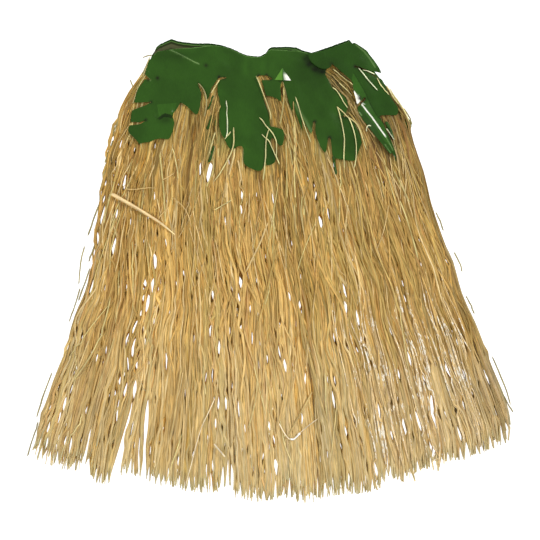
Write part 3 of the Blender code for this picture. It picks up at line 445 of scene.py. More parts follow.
# Loose strands: colour, width, height over what it lies on, the points that it passes
STRAYS = [
    ("bright", 3.0, 1.2, [(-69, 262.7), (-68, 244.9), (-67.2, 226.2), (-67.4, 213.7), (-69.4, 205.1)]),
    ("pale", 3.0, 1.2, [(-57.1, 220.6), (-57.1, 198.6), (-58.5, 189.5), (-61.3, 181), (-68.6, 166.1), (-78, 150.5), (-88.1, 136.5)]),
    ("pale", 2.7, 1.0, [(-71.6, 202.5), (-66.3, 208.1), (-62.2, 214.3)]),
    ("pale", 2.3, 1.0, [(-22.3, 300.5), (-18.9, 293.9), (-15.8, 286.3), (-13.3, 278.5), (-10.6, 271.4), (-6.4, 260.5), (-2.5, 249.6), (0.2, 241), (0.8, 232.4)]),
    ("pale", 2.8, 1.3, [(-17.2, 236.2), (-12.3, 231.5), (-7, 223.7), (-1.7, 217.8), (4.2, 210.6), (8, 202.2), (9.5, 191.9), (9.5, 174.7)]),
    ("pale", 2.7, 1.3, [(-13.9, 210.3), (-8, 204.4), (-2.3, 199.1), (1.7, 190.3), (5.8, 181.6), (9.5, 173.2), (13.9, 163)]),
    ("pale", 2.8, 1.8, [(-2.5, 217.5), (-5.1, 209), (-6.7, 201.2), (-7.6, 187.2), (-8, 171.6), (-9.5, 154.4), (-11.2, 137.3)]),
    ("pale", 2.7, 1.2, [(38.8, 268.6), (42.3, 258.2), (46, 245.7), (48.8, 235.6), (52.6, 223.9), (57.9, 210.6), (63.2, 197.8)]),
    ("tan", 2.8, 1.0, [(20.4, 271.9), (23.2, 264.4), (26.7, 255.1), (30.1, 244.1), (32.6, 234), (35.9, 220)]),
    ("tan", 2.5, 1.0, [(35.7, 261.3), (35.4, 251.2), (36.7, 238.7), (39.8, 226.2), (44.5, 210.6)]),
    ("pale", 2.8, 1.4, [(104.1, 252.1), (106.7, 244.9), (110, 231.8), (113.1, 216.2), (115, 202.8), (114.8, 188.8), (114.2, 170), (115.6, 154.4)]),
    ("pale", 2.5, 1.3, [(103.6, 253.3), (108.4, 249), (113.7, 244.3), (120, 237.7), (127.8, 231.8), (134.9, 224), (140.6, 212.8), (145.2, 199.7), (149.6, 185.6)]),
    ("pale", 2.8, 1.4, [(120.3, 238.4), (125.6, 227.1), (130.3, 213.4), (133.7, 197.5), (134, 185), (133.1, 170.8), (130.3, 157.6)]),
    ("tan", 2.7, 1.2, [(121.8, 244.9), (129.3, 234.6), (137.4, 223.1), (145.5, 206.9), (149.9, 191.9)]),
    ("pale", 2.6, 1.4, [(97.8, 312.3), (104.1, 307.3), (112.2, 300.5), (120, 293.9), (127.8, 286.7)]),
    ("tan", 2.8, 1.0, [(97.2, 308.9), (104.4, 301.7), (112.2, 294.2), (120, 287), (128.1, 278.9)]),
    ("tan", 2.6, 0.7, [(95, 304.2), (103.1, 295.5), (112.5, 286.4), (121.5, 276.7), (127.8, 268.3)]),
    ("tan", 2.8, 0.6, [(94.4, 297), (101.6, 288.6), (110.6, 278.3), (118.4, 267.7), (123.4, 254.9)]),
    ("tan", 2.8, 0.5, [(94.1, 291.7), (102.2, 283.3), (112.2, 274.6), (121.8, 265.2), (129.3, 254.3)]),
    ("pale", 2.5, 1.2, [(95.6, 283), (101.2, 280.2), (105.9, 274.6), (110.3, 266.8), (115, 259), (120.3, 251.2)]),
    ("pale", 2.3, 1.0, [(106.5, 290.8), (115.3, 283), (123.4, 275.5), (128.1, 269.9)]),
    ("tan", 2.7, 0.8, [(121.5, 268.3), (123.1, 257.4), (127.8, 244.9), (135.6, 230.3), (141.2, 216.8)]),
    ("tan", 2.6, 0.8, [(124.6, 264.3), (129.3, 251.8), (135.6, 239.3), (143.4, 224.6)]),
    ("bright", 3.1, 1.5, [(137.3, 313.2), (144.3, 304.2), (152.7, 293.9), (160.5, 284.9), (166.8, 278.3)]),
    ("bright", 2.2, 1.2, [(143.4, 309.8), (149.6, 308.9), (155.8, 306.7), (162.1, 303.6)]),
    ("pale", 2.5, 1.3, [(165.8, 298), (169.6, 290.8), (173.9, 284.2), (179.2, 277.7), (184.5, 271.8)]),
    ("pale", 2.5, 1.0, [(181.1, 286.7), (185.2, 278.6), (190.2, 269.9), (195.2, 262.7), (199.5, 257.1)]),
    ("pale", 2.8, 0.7, [(186.1, 282.4), (192.3, 271.4), (201.4, 258.3), (210.4, 244.3), (216.7, 229.3)]),
    ("bright", 2.3, 1.5, [(149.4, 214.5), (150.2, 220.6), (152.7, 223.4), (156.2, 222.5)]),
    ("bright", 2.3, 0.8, [(180.2, 219.3), (184.9, 213.4), (189.5, 206.5), (193.3, 201.2)]),
    ("tan", 2.8, 1.0, [(191.9, 176.3), (193.4, 165.4), (198.1, 154.4), (203.6, 138.8)]),
    ("tan", 1.9, 1.2, [(-226.4, 124.8), (-214.5, 123.9), (-203, 124.8), (-189.5, 126.4), (-178, 125.7)]),
    ("tan", 2.2, 1.2, [(-169.3, 138.2), (-159.9, 142.9), (-149.3, 149.8)]),
    ("tan", 1.9, 1.4, [(-154.6, 112.3), (-143.7, 104.5), (-133.4, 93.6), (-127.1, 79.6), (-123.4, 64.9)]),
    ("pale", 2.5, 1.4, [(-87.2, 91.4), (-75, 98.9), (-60.1, 107.6)]),
    ("tan", 1.9, 1.2, [(-174.4, 79.6), (-166.1, 88.9), (-158.3, 96.7)]),
    ("pale", 2.2, 1.2, [(-152.9, 188.8), (-149, 173.2), (-145.1, 154.4), (-144, 140.4)]),
    ("bright", 2.3, 1.8, [(11.7, -237.9), (15.6, -244.9), (20.4, -253.3), (25.7, -261.1), (30.4, -264.9), (35.1, -265.2), (39.8, -262.1), (44.5, -256.5), (53.2, -249), (63.2, -241.2), (73.3, -233.4)]),
    ("bright", 2.3, 1.4, [(-86.1, -200.5), (-94.4, -218.4), (-104.7, -240.2), (-112.5, -263.6), (-119.7, -290.2), (-126.2, -313.6), (-132.8, -338.5)]),
    ("bright", 3.8, 1.6, [(-88.6, -272.4), (-80.3, -281.7), (-70.4, -293)]),
    ("pale", 2.2, 1.2, [(-137.1, -255.2), (-147.4, -285.5), (-155.2, -308.9), (-161.9, -332.3)]),
    ("edge", 2.35, -4, [(-234.8, 244.9), (-238.8, 230.9), (-243.2, 218.4), (-246.3, 207.5)]),
    ("edge", 2.25, -5, [(-245.7, 201.2), (-249.6, 190.3), (-254.1, 179.4), (-258.8, 165.4)]),
    ("edge", 2.05, -5, [(-247.3, 170), (-252.6, 162.2), (-257.2, 154.4), (-262.5, 144.3)]),
    ("edge", 2.25, -5, [(-259.7, 142), (-263.8, 129.5), (-265.7, 118.6), (-266.3, 106.1)]),
    ("edge", 2.55, -4, [(-261.3, 113.9), (-266.9, 101.4), (-273.8, 84.2), (-280, 67.1), (-285.6, 51.5)]),
    ("edge", 2.25, -5, [(-290, 35.9), (-293.7, 23.4), (-296.9, 7.8), (-298.1, -7.8), (-299.1, -25)]),
    ("edge", 2.25, -5, [(-273.8, 39), (-277.8, 28.1), (-281.6, 18.7), (-284.1, 10.9)]),
    ("edge", 2.35, -5, [(-281.6, 1.6), (-287.8, -17.2), (-294.1, -32.8), (-299.7, -49.9)]),
    ("edge", 2.25, -5, [(-297.2, -29.6), (-301.9, -46.8), (-308.1, -64), (-314.3, -82.7)]),
    ("edge", 2.25, -6, [(-340.9, -160.7), (-350.2, -185.6), (-358, -207.5), (-365.8, -232.4)]),
    ("edge", 2.25, -6, [(-362.7, -238.7), (-368.9, -257.4), (-375.2, -276.1), (-380.6, -293.3)]),
    ("edge", 1.95, -5, [(-200, 330.7), (-195.8, 332.6), (-190.2, 334.2), (-185.5, 334.5)]),
    ("pale", 2.5, -3, [(-187.4, 332.3), (-190.5, 326), (-192.7, 318.2), (-195.5, 310.4), (-199.8, 301.1), (-206.1, 290.8), (-212, 279.9), (-216.7, 266.8)]),
    ("edge", 3.15, -4, [(-188.9, 329.2), (-192.3, 320.4), (-197, 310.4), (-202, 300.5), (-208.9, 289.2), (-217, 276.1), (-222.9, 262.1)]),
    ("pale", 2.5, -3.5, [(-193.3, 310.4), (-196.4, 301.1), (-202.6, 290.2), (-208.3, 279.2), (-212.3, 266.8), (-217.6, 252.7)]),
    ("edge", 2.85, -4, [(-195.8, 302.6), (-203.6, 290.2), (-212.3, 277.7), (-220.7, 262.1), (-227, 244.9)]),
    ("edge", 2.05, -4, [(-219.2, 295.6), (-217, 289.2), (-213.9, 282.4)]),
    ("edge", 2.25, -5, [(208.3, 251.2), (216.1, 238.7), (221.7, 226.2)]),
    ("edge", 2.25, -5, [(258.2, 88.9), (265.4, 73.3), (270, 59.3)]),
    ("edge", 2.25, -5, [(286.3, 26.5), (294.7, 10.9), (299.7, -4.7)]),
    ("edge", 2.25, -5, [(305, -42.1), (312.8, -56.2), (318.4, -70.2)]),
    ("edge", 2.25, -5, [(345.5, -135.7), (356.5, -160.7), (367.4, -187.2), (375.2, -212.2)]),
    ("edge", 2.35, -6, [(354.9, -179.4), (367.4, -204.4), (379.2, -224.6)]),
    ("white", 4.6, 2.0, [(30.5, -264.8), (35.5, -265.2), (40.5, -261.8), (46, -255.5)]),
    ("leaf", 6.4, 0.1, [(-90.5, 240), (-93, 232), (-96, 224), (-98.5, 217)]),
    ("leaf", 5.2, 0.1, [(-88.5, 192), (-90.5, 184), (-93, 175), (-96.5, 166)]),
    ("leaf", 3.6, 0.1, [(-96, 208), (-97.5, 203), (-99, 198)]),
    ("leaf", 3.4, 0.1, [(-89.5, 271), (-92, 263), (-95, 254), (-98, 248)]),
    ("leaf", 3.2, 0.1, [(-84.5, 234), (-85.5, 229), (-87, 223)]),
    ("leaf", 6.0, 0.1, [(97.5, 176), (99.5, 166), (101, 157), (102.5, 147)]),
    ("leaf", 7.6, 0.1, [(180, 230), (183.5, 223), (187.5, 215), (192, 205)]),
    ("pale", 2.6, 0.9, [(-79.7, 294.8), (-86, 285), (-92.8, 274)]),
    ("olive", 2.9, 0.9, [(-84, 268.8), (-89, 248), (-92.8, 227.3), (-97, 208), (-101.2, 189), (-103, 171.8)]),
    ("pale", 2.8, 1.2, [(-86.6, 213.4), (-91, 196), (-96.1, 178.8)]),
    ("olive", 3.0, 1.0, [(-77.8, 254.9), (-83.1, 241.2), (-84.9, 223.7), (-83.9, 203)]),
    ("edge", 2.3, 1.0, [(-112.6, 289.7), (-107, 283), (-103.1, 275.8), (-99.5, 262), (-103.1, 237.6)]),
]


# Back garland, a row a lobe: the corner before it, then its two outer corners
BACK_LOBES = [
    ("edge left", (-185, 327), (-193, 310), (-199, 282)),
    ("left upper", (-176, 276), (-204, 257), (-199, 214)),
    ("left lower", (-168, 220), (-176, 186), (-144, 182)),
    ("left inner", (-135, 236), (-119, 192), (-105, 201)),
    ("left point", (-101, 245), (-101, 173), (-87, 164)),
    ("centre left", (-76, 232), (-60, 186), (-29, 173)),
    ("centre", (-23, 245), (-7, 192), (14, 190)),
    ("centre right", (15, 297), (46, 208), (71, 204)),
    ("right inner", (77, 260), (98, 162), (136, 192)),
    ("right lower", (143, 251), (177, 195), (202, 206)),
    ("right point", (190, 245), (219, 214), (222, 229)),
    ("edge right", (177, 282), (184.5, 277.5), (181, 286)),
]

# Folds of the leaf cloth: piece, start, end, reach to the left and right of that line, height
FOLDS = [
    ("front", (-158, 342), (-111, 319), 3.2, 20, 1.9),
    ("front", (-200, 286), (-150, 296), 9, 9, 1.4),
    ("front", (-197, 312), (-190, 306), 3, 3, 0.9),
    ("front", (-178, 234), (-169, 240), 14, 2.2, 2.0),
    ("front", (-172, 239), (-151, 243.5), 15, 2.2, 2.4),
    ("front", (-196, 214), (-160, 226), 10, 10, 1.6),
    ("front", (-150, 330), (-126, 262), 16, 18, 1.1),
    ("front", (-92, 336), (-60, 300), 12, 14, 1.0),
    ("front", (-48, 322), (-43, 186), 20, 20, 0.7),
    ("front", (-38, 232), (-8, 168), 12, 14, 1.0),
    ("front", (-24, 240), (4, 205), 5, 6, 1.0),
    ("front", (62, 290), (118, 186), 14, 14, 1.3),
    ("front", (34, 300), (46, 262), 9, 9, 0.8),
    ("front", (20, 332), (60, 318), 6, 9, 1.2),
    ("front", (98, 232), (136, 206), 3.4, 9, 0.7),
    ("side", (76, 334), (94, 321), 8, 8, 0.5),
    ("side", (164, 296), (194, 248), 10, 10, 0.8),
    ("side", (104, 342), (146, 322), 12, 12, 1.0),
    ("side", (100, 325), (124, 303), 8, 12, 0.5),
]
# Valley of the side leaf's long lobe, whose near side curls up from it
VALLEY = [(128.7, 305.8), (146.5, 275.5), (154.6, 257.4), (164.6, 239.6), (176.4, 226.2), (188, 190.3)]

# Scorched cut ends and specks on the leaf cloth: x, y, radius, strength
SCORCHES = [
    (-176.4, 298, 2.9, 0.91), (-100.6, 317.8, 3.1, 0.78), (-80.3, 299.5, 2.7, 1),
    (-73, 297.6, 2.7, 0.91), (68.6, 229.3, 2.9, 1), (67.1, 222, 2.5, 0.78),
    (92, 204.4, 3.1, 1), (131.8, 315.6, 2.9, 1), (137.3, 313.8, 2.5, 0.78),
    (138.5, 266, 2.9, 1), (146, 264, 3.1, 1), (-18, 301, 3.1, 1),
    (-6, 302, 2.9, 1), (0, 297, 2.9, 0.91), (66.3, 312, 2.5, 0.52), (95.2, 319.5, 3.6, 0.52),
    (-191, 295, 2.5, 0.65), (-186.6, 260.4, 2.7, 0.78), (-194.4, 232.4, 2.7, 0.78),
]
# Pressed creases with painted highlights along them: piece, half width, height, how much paler the painted highlight
# is, the points it passes.
# Past 0.8 the painted highlight is white glare.
CREASES = [
    ("front", 0.55, 0.3, 0.5, [(-157.6, 342.4), (-146, 337), (-130, 329)]),
    ("front", 0.6, 0.3, 0.6, [(-130, 329), (-120, 323.5), (-111.5, 319.8)]),
    ("front", 0.8, 0.3, 0.35, [(-194.2, 301.1), (-187.2, 294.1)]),
    ("side", 1.0, 0.12, 1.0, [(142.4, 256.2), (150, 246.2), (158.3, 236.2), (165, 226.8), (170.8, 218.4), (179.2, 206.7)]),
    ("side", 0.5, 0.1, 0.6, [(179.2, 206.7), (185, 196.5), (190.8, 185.6)]),
    ("side", 0.5, 0.1, 0.40, [(178.3, 194.2), (182.6, 187.6), (187.2, 181)]),
    ("side", 0.8, 0.5, 0.45, [(135.9, 245.7), (138.6, 242.6), (141.5, 239.5)]),
    ("side", 0.9, 0.08, 0.30, [(133.4, 349.4), (145.9, 339.1), (153.7, 329.2), (163, 315.1)]),
    ("front", 2.4, 0.4, 0.24, [(39.8, 255.8), (46, 243.4), (55.4, 229.3), (64.7, 210.6), (74.1, 191.9)]),
]

# Painted light and shade on the cloth, with some lighter and darker tone: shadows cast by raised edges and folds, lit
# edges: piece, x, y, reach in x, reach in y, change
LIGHT_SHADE_AND_TONE = [
    ("front", -40, 316, 3, 12, 0.15),
    ("front", -31, 314, 3, 12, -0.15),
    ("front", -13, 316, 3.5, 13, 0.15),
    ("front", -4, 318, 3, 12, -0.15),
    ("front", -163, 232, 9, 6, -0.4),
    ("front", 54, 328.6, 4.5, 5, -0.4),
    ("front", 60, 319.5, 5, 5, -0.45),
    ("front", 70, 311.5, 6, 4.5, -0.5),
    ("front", 82, 308, 7, 4, -0.5),
    ("front", 92.5, 309.5, 5, 4, -0.4),
    ("front", -128, 333, 26, 5, -0.18),
    ("front", 62, 322, 14, 10, -0.38),
    ("front", 78, 306, 12, 10, -0.3),
    ("front", 60, 270, 24, 34, -0.2),
    ("front", 114, 236, 10, 3.5, -0.5),
    ("front", 5, 168, 8, 14, -0.2),
    ("front", -160, 331, 20, 8, -0.14),
    ("front", -2, 180, 8, 20, -0.2),
    ("front", 115, 200, 26, 22, -0.12),
    ("front", 45, 300, 22, 20, -0.1),
    ("front", -45, 215, 26, 30, 0.04),
    ("front", -190, 270, 18, 26, 0.04),
    ("side", 148, 338, 8, 8, 0.4),
    ("side", 160, 320, 7, 9, 0.4),
    ("side", 134, 278, 7, 22, 0.25),
    ("side", 100, 328, 18, 9, -0.05),
    ("side", 186, 262, 12, 24, 0.04),
]

RAFFIA = {  # sRGB
    "gold": (204, 167, 94),
    "olive": (188, 160, 90),
    "orange": (192, 150, 86),
    "straw": (222, 196, 138),
    "hem": (210, 190, 141),
    "ribbon": (226, 200, 152),
    "pale": (216, 202, 136),
    "bright": (220, 226, 180),
    "tan": (184, 158, 88),
    "edge": (150, 140, 92),
}
# the back garland is painted lighter than the same cloth in front, painted light for the shade it lies in
LEAF = {"front": (42, 79, 21), "side": (36, 71, 18), "back": (56, 108, 34), "band": (28, 66, 16)}


def lin(rgb):
    c = np.asarray(rgb, float) / 255
    return np.where(c <= 0.04045, c / 12.92, ((c + 0.055) / 1.055) ** 2.4)


def column(table, at, value, x):
    rows = sorted(table, key=lambda row: row[at])
    return np.interp(x, [row[at] for row in rows], [row[value] for row in rows])


def smooth(t):
    t = np.clip(t, 0, 1)
    return t * t * (3 - 2 * t)


def band_low(x):
    return column(BAND_LOW, 0, 1, x)


# Faces of the folded cloth that the light takes differently: piece, change, their corners
FACES = [
    ("front", 0.36, [(-177, 256.6), (-145.9, 259), (-150.5, 245), (-153.7, 239.7), (-164.6, 243), (-173.9, 236.3)]),
    ("front", -0.5, [(-176.3, 234), (-170.8, 240.2), (-163, 243), (-153.7, 239.5), (-152.1, 234), (-158.3, 236.3), (-166.1, 237.1), (-172.4, 232.4)]),
    ("side", 0.5, [(128.7, 305.8), (146.5, 275.5), (154.6, 257.4), (164.6, 239.6), (176.4, 226.2), (188, 190.3), (177.1, 200), (163, 222), (149, 240), (139, 256), (128.5, 276), (126, 292)]),
    ("side", -0.3, [(130.2, 306.2), (148, 276), (156.1, 258), (166.1, 240.3), (178, 226.8), (189, 191), (188, 190.3), (176.4, 226.2), (164.6, 239.6), (154.6, 257.4), (146.5, 275.5), (128.7, 305.8)]),
]

# Painted glare, white where the glossy cloth reflects the lamp: piece, polygon
PAINTED_GLARE = [
    ("side", [(128.6, 278), (131.2, 277), (135.6, 269.4), (139.6, 262), (136.8, 257.2), (134.4, 257.2), (132.0, 266)]),
]

# ---------------------------------------------------------------- meshes


def build(name, points, groups, tone, shine=None, grain=None, uvs=None, soft=True):
    """A mesh from points in millimetres and groups of faces, each group an array with a face a row."""
    mesh = bpy.data.meshes.new(name)
    mesh.vertices.add(len(points))
    mesh.vertices.foreach_set("co", (np.asarray(points) * MM).astype(np.float32).ravel())
    loops = np.concatenate([g.ravel() for g in groups]).astype(np.int32)
    sizes = np.concatenate([np.full(len(g), g.shape[1]) for g in groups])
    starts = np.concatenate([[0], np.cumsum(sizes)[:-1]]).astype(np.int32)
    mesh.loops.add(len(loops))
    mesh.loops.foreach_set("vertex_index", loops)
    mesh.polygons.add(len(sizes))
    mesh.polygons.foreach_set("loop_start", starts)
    mesh.polygons.foreach_set("use_smooth", np.full(len(sizes), soft))
    mesh.update(calc_edges=True)
    colour = mesh.color_attributes.new("tone", "FLOAT_COLOR", "POINT")
    rgba = np.ones((len(points), 4), np.float32)
    rgba[:, :3] = tone
    colour.data.foreach_set("color", rgba.ravel())
    if shine is not None:
        mesh.attributes.new("shine", "FLOAT", "POINT").data.foreach_set(
            "value", shine.astype(np.float32).ravel()
        )
    if grain is not None:
        mesh.attributes.new("grain", "FLOAT_VECTOR", "POINT").data.foreach_set(
            "vector", grain.astype(np.float32).ravel()
        )
    if uvs is not None:
        mesh.uv_layers.new(name="OFBake").data.foreach_set(
            "uv", uvs.astype(np.float32).ravel()
        )
    obj = bpy.data.objects.new(name, mesh)
    bpy.context.scene.collection.objects.link(obj)
    return obj


# ---------------------------------------------------------------- raffia

SECTION = np.array([(-1, -0.1), (-0.22, 0.9), (1, 0.1), (0.15, -0.85)])
SECTION_PLAIN = np.array([(-1, 0), (-0.1, 0.85), (1, 0), (0.1, -0.85)])


def plan(u, v):
    """Place on the fringe of share u across it and share v down it."""
    top_x = -196 + 332 * u
    top_y = band_low(top_x) - 0.3
    hem_x = -378 + 756 * u
    hem_y = column(HEM_LINE, 0, 1, hem_x)
    ends = np.array([(-196, band_low(-196) - 0.3), (136, band_low(136) - 0.3)])
    feet = np.array([(-378, -284.0), (378, -246.0)])
    down = np.clip(v, 0, 1)
    left_y = ends[0, 1] + down * (feet[0, 1] - ends[0, 1])
    right_y = ends[1, 1] + down * (feet[1, 1] - ends[1, 1])
    left_x = column(SIDES, 0, 1, left_y)
    right_x = column(SIDES, 0, 2, right_y)
    mix = lambda a, b: (1 - down) * a + down * b
    across = lambda a, b: (1 - u) * a + u * b
    x = mix(top_x, hem_x) + across(left_x, right_x)
    x -= mix(across(ends[0, 0], ends[1, 0]), across(feet[0, 0], feet[1, 0]))
    y = mix(top_y, hem_y) + across(left_y, right_y)
    y -= mix(across(ends[0, 1], ends[1, 1]), across(feet[0, 1], feet[1, 1]))
    return x, y - (v - down) * 630


def drift_of(u, v):
    rows = [column(FLOW, 0, k, v) for k in range(1, 7)]
    place = np.clip(u, 0, 0.9999) * 5
    low = place.astype(int)
    part = smooth(place - low)
    table = np.stack(rows)
    at = np.indices(u.shape)
    near = table[(low, *at)]
    far = table[(low + 1, *at)]
    return near * (1 - part) + far * part


def lock_height(u, y):
    height = np.zeros_like(u)
    for place, half, rise, start in LOCKS:
        grown = np.clip((start - y) / 90, 0, 1) * np.clip((y + 400) / 160, 0.35, 1)
        height += rise * grown * np.exp(-(((u - place) / half) ** 2))
    return height


def wander(rng, count, samples, waves, size):
    """Rows of smooth noise with about `waves` swings along each row."""
    knots = rng.normal(0, size, (count, int(np.ceil(waves)) + 4))
    place = np.linspace(0, waves, samples)[None, :] + rng.uniform(0, 1, (count, 1))
    low = place.astype(int)
    part = place - low
    part = 0.45 * part + 0.55 * smooth(part)
    rows = np.arange(count)[:, None]
    return knots[rows, low] * (1 - part) + knots[rows, low + 1] * part


def specks(rng, count):
    """Small openings between strands, most of them on the left."""
    rows = []
    for _ in range(count):
        u, v = rng.uniform(0, 1) ** 1.5, rng.uniform(0.2, 0.97)
        length = rng.uniform(8, 22) / 640
        x0, y0 = plan(np.array(u), np.array(v - length / 2))
        x1, y1 = plan(np.array(u), np.array(v + length / 2))
        lean = rng.normal(0, 1.2)
        rows.append((x0 + lean, y0, x1 - lean, y1, rng.uniform(1.0, 2.2), 0))
    return rows


def notches(rng, count):
    """Short splits between the tufts of the hem."""
    rows = []
    for u in (np.arange(count) + rng.uniform(-0.6, 1.6, count)) / count:
        start = 1 - rng.gamma(2.2, 8) / 640
        x0, y0 = plan(np.array(u), np.array(start))
        x1, y1 = plan(np.array(u), np.array(1.0))
        rows.append((x0, y0, x1 + rng.normal(0, 1.5), y1, rng.uniform(1.0, 4.6), 1))
    return rows


def part_strands(x, y, half, slits, rng):
    """Pushes the strands that cover a slit to the side on which each of them mostly lies."""
    for x0, y0, x1, y1, width, open_end in slits:
        length = max(y0 - y1, 10.0)
        if open_end:
            share = (y0 - y) / length
            near = (share > 0) & (np.abs(x - (x0 + x1) / 2) < 40 + abs(x1 - x0))
            gap = width / 2 * np.clip(share, 0, 1.15) ** 1.5
            spread = np.clip(share * 3, 0, 1)
        else:
            s = (y - (y0 + y1) / 2) / (length / 2 + 4)
            near = (np.abs(s) < 1) & (np.abs(x - (x0 + x1) / 2) < 30 + abs(x1 - x0))
            gap = width / 2 * np.clip(1 - s * s, 0, 1)
            spread = np.clip(1 - s * s, 0, 1) ** 0.7
        rows = np.nonzero(near.any(axis=1))[0]
        if not len(rows):
            continue
        inside = near[rows]
        axis = x0 + (x1 - x0) * (y0 - y[rows]) / (y0 - y1)
        q = x[rows] - axis
        side = np.sign((q * inside).sum(axis=1) + 1e-9)[:, None]
        clear = 1.3 * gap[rows] + half[rows] * spread[rows]
        clear = clear * (1 + rng.uniform(0, 0.3, (len(rows), 1)))
        moved = side * np.maximum(side * q, clear)
        crosses = rng.uniform(0, 1, (len(rows), 1)) < (0.04 if width > 3 else 0.012) * (3 if y1 > 165 else 1)
        x[rows] = np.where(crosses | ~inside, x[rows], axis + moved)
    return x


# painted highlight on the crown of a strand, painted shade on its flanks
CROWN_HIGHLIGHT, FLANK_SHADE = (1.06, 1.11, 1.3), (1.03, 0.88, 0.44)


def strand_mesh(name, x, y, z, half, thick, twist, tone, shine, section, seed, crinkle=0.0):
    count, samples = x.shape
    sides = len(section)
    path = np.stack([x, y, z], axis=2)
    ahead = np.gradient(path, axis=1)
    ahead /= np.linalg.norm(ahead, axis=2, keepdims=True)
    across = np.cross(ahead, (0, 0, 1.0))
    across /= np.linalg.norm(across, axis=2, keepdims=True)
    up = np.cross(across, ahead)
    c, s = np.cos(twist)[..., None], np.sin(twist)[..., None]
    wide, high = c * across + s * up, c * up - s * across
    points = path[:, :, None, :] + (
        wide[:, :, None, :] * (section[:, 0] * half[..., None])[..., None]
        + high[:, :, None, :] * (section[:, 1] * thick[..., None] + crinkle)[..., None]
    )
    points[..., 2] = np.maximum(points[..., 2], 0.05)
    index = np.arange(count * samples * sides).reshape(count, samples, sides)
    a, b = index[:, :-1], index[:, 1:]
    nxt = np.roll(np.arange(sides), -1)
    quads = np.stack([a, a[:, :, nxt], b[:, :, nxt], b], axis=3).reshape(-1, 4)
    first = index[:, 0, ::-1].reshape(-1, sides)
    last = index[:, -1, :].reshape(-1, sides)
    k = np.arange(sides) / sides
    i = np.arange(count)[:, None, None]
    t = np.linspace(0.01, 0.99, samples)[None, :, None]
    u0 = (i + 0.08 + 0.76 * k[None, None, :]) / count + 0 * t
    u1 = (i + 0.08 + 0.76 * (k[None, None, :] + 1 / sides)) / count + 0 * t
    tt = t + 0 * u0
    quad_uv = np.stack(
        [
            np.stack([u0[:, :-1], tt[:, :-1]], -1),
            np.stack([u1[:, :-1], tt[:, :-1]], -1),
            np.stack([u1[:, 1:], tt[:, 1:]], -1),
            np.stack([u0[:, 1:], tt[:, 1:]], -1),
        ],
        axis=3,
    ).reshape(-1, 2)
    ring = 0.5 + 0.45 * np.stack([np.cos(2 * np.pi * k), np.sin(2 * np.pi * k)], 1)
    cap = lambda low: np.stack(
        [
            (np.arange(count)[:, None] + 0.87 + 0.1 * ring[None, :, 0]) / count,
            low + 0.01 * ring[None, :, 1] + 0 * np.arange(count)[:, None],
        ],
        -1,
    ).reshape(-1, 2)
    uvs = np.concatenate([quad_uv, cap(0.02), cap(0.5)])
    run = np.concatenate(
        [np.zeros((count, 1)), np.cumsum(np.linalg.norm(np.diff(path, axis=1), axis=2), axis=1)],
        axis=1,
    )
    grain = np.empty((count, samples, sides, 3))
    grain[..., 0] = section[:, 0] * half[..., None]
    grain[..., 1] = run[..., None]
    grain[..., 2] = (np.arange(count) * 7.31 + seed)[:, None, None]
    big = lambda a: np.repeat(a[:, :, None], sides, axis=2)
    # painted highlight and shade: the crown of a strand is painted pale, its flanks darker and warmer
    crown = np.clip(0.5 + 0.5 * section[:, 1] / section[:, 1].max(), 0, 1)[:, None]
    crown = np.array(FLANK_SHADE) * (1 - crown) + np.array(CROWN_HIGHLIGHT) * crown
    return build(
        name,
        points.reshape(-1, 3),
        [quads, first, last],
        np.clip(tone[:, :, None, :] * crown, 0, 0.97).reshape(-1, 3),
        big(shine),
        grain.reshape(-1, 3),
        uvs,
    )


def crisp(obj):
    """The rims of the strands stay crisp, their faces soft."""
    obj.data.set_sharp_from_angle(angle=np.radians(52))
    return obj


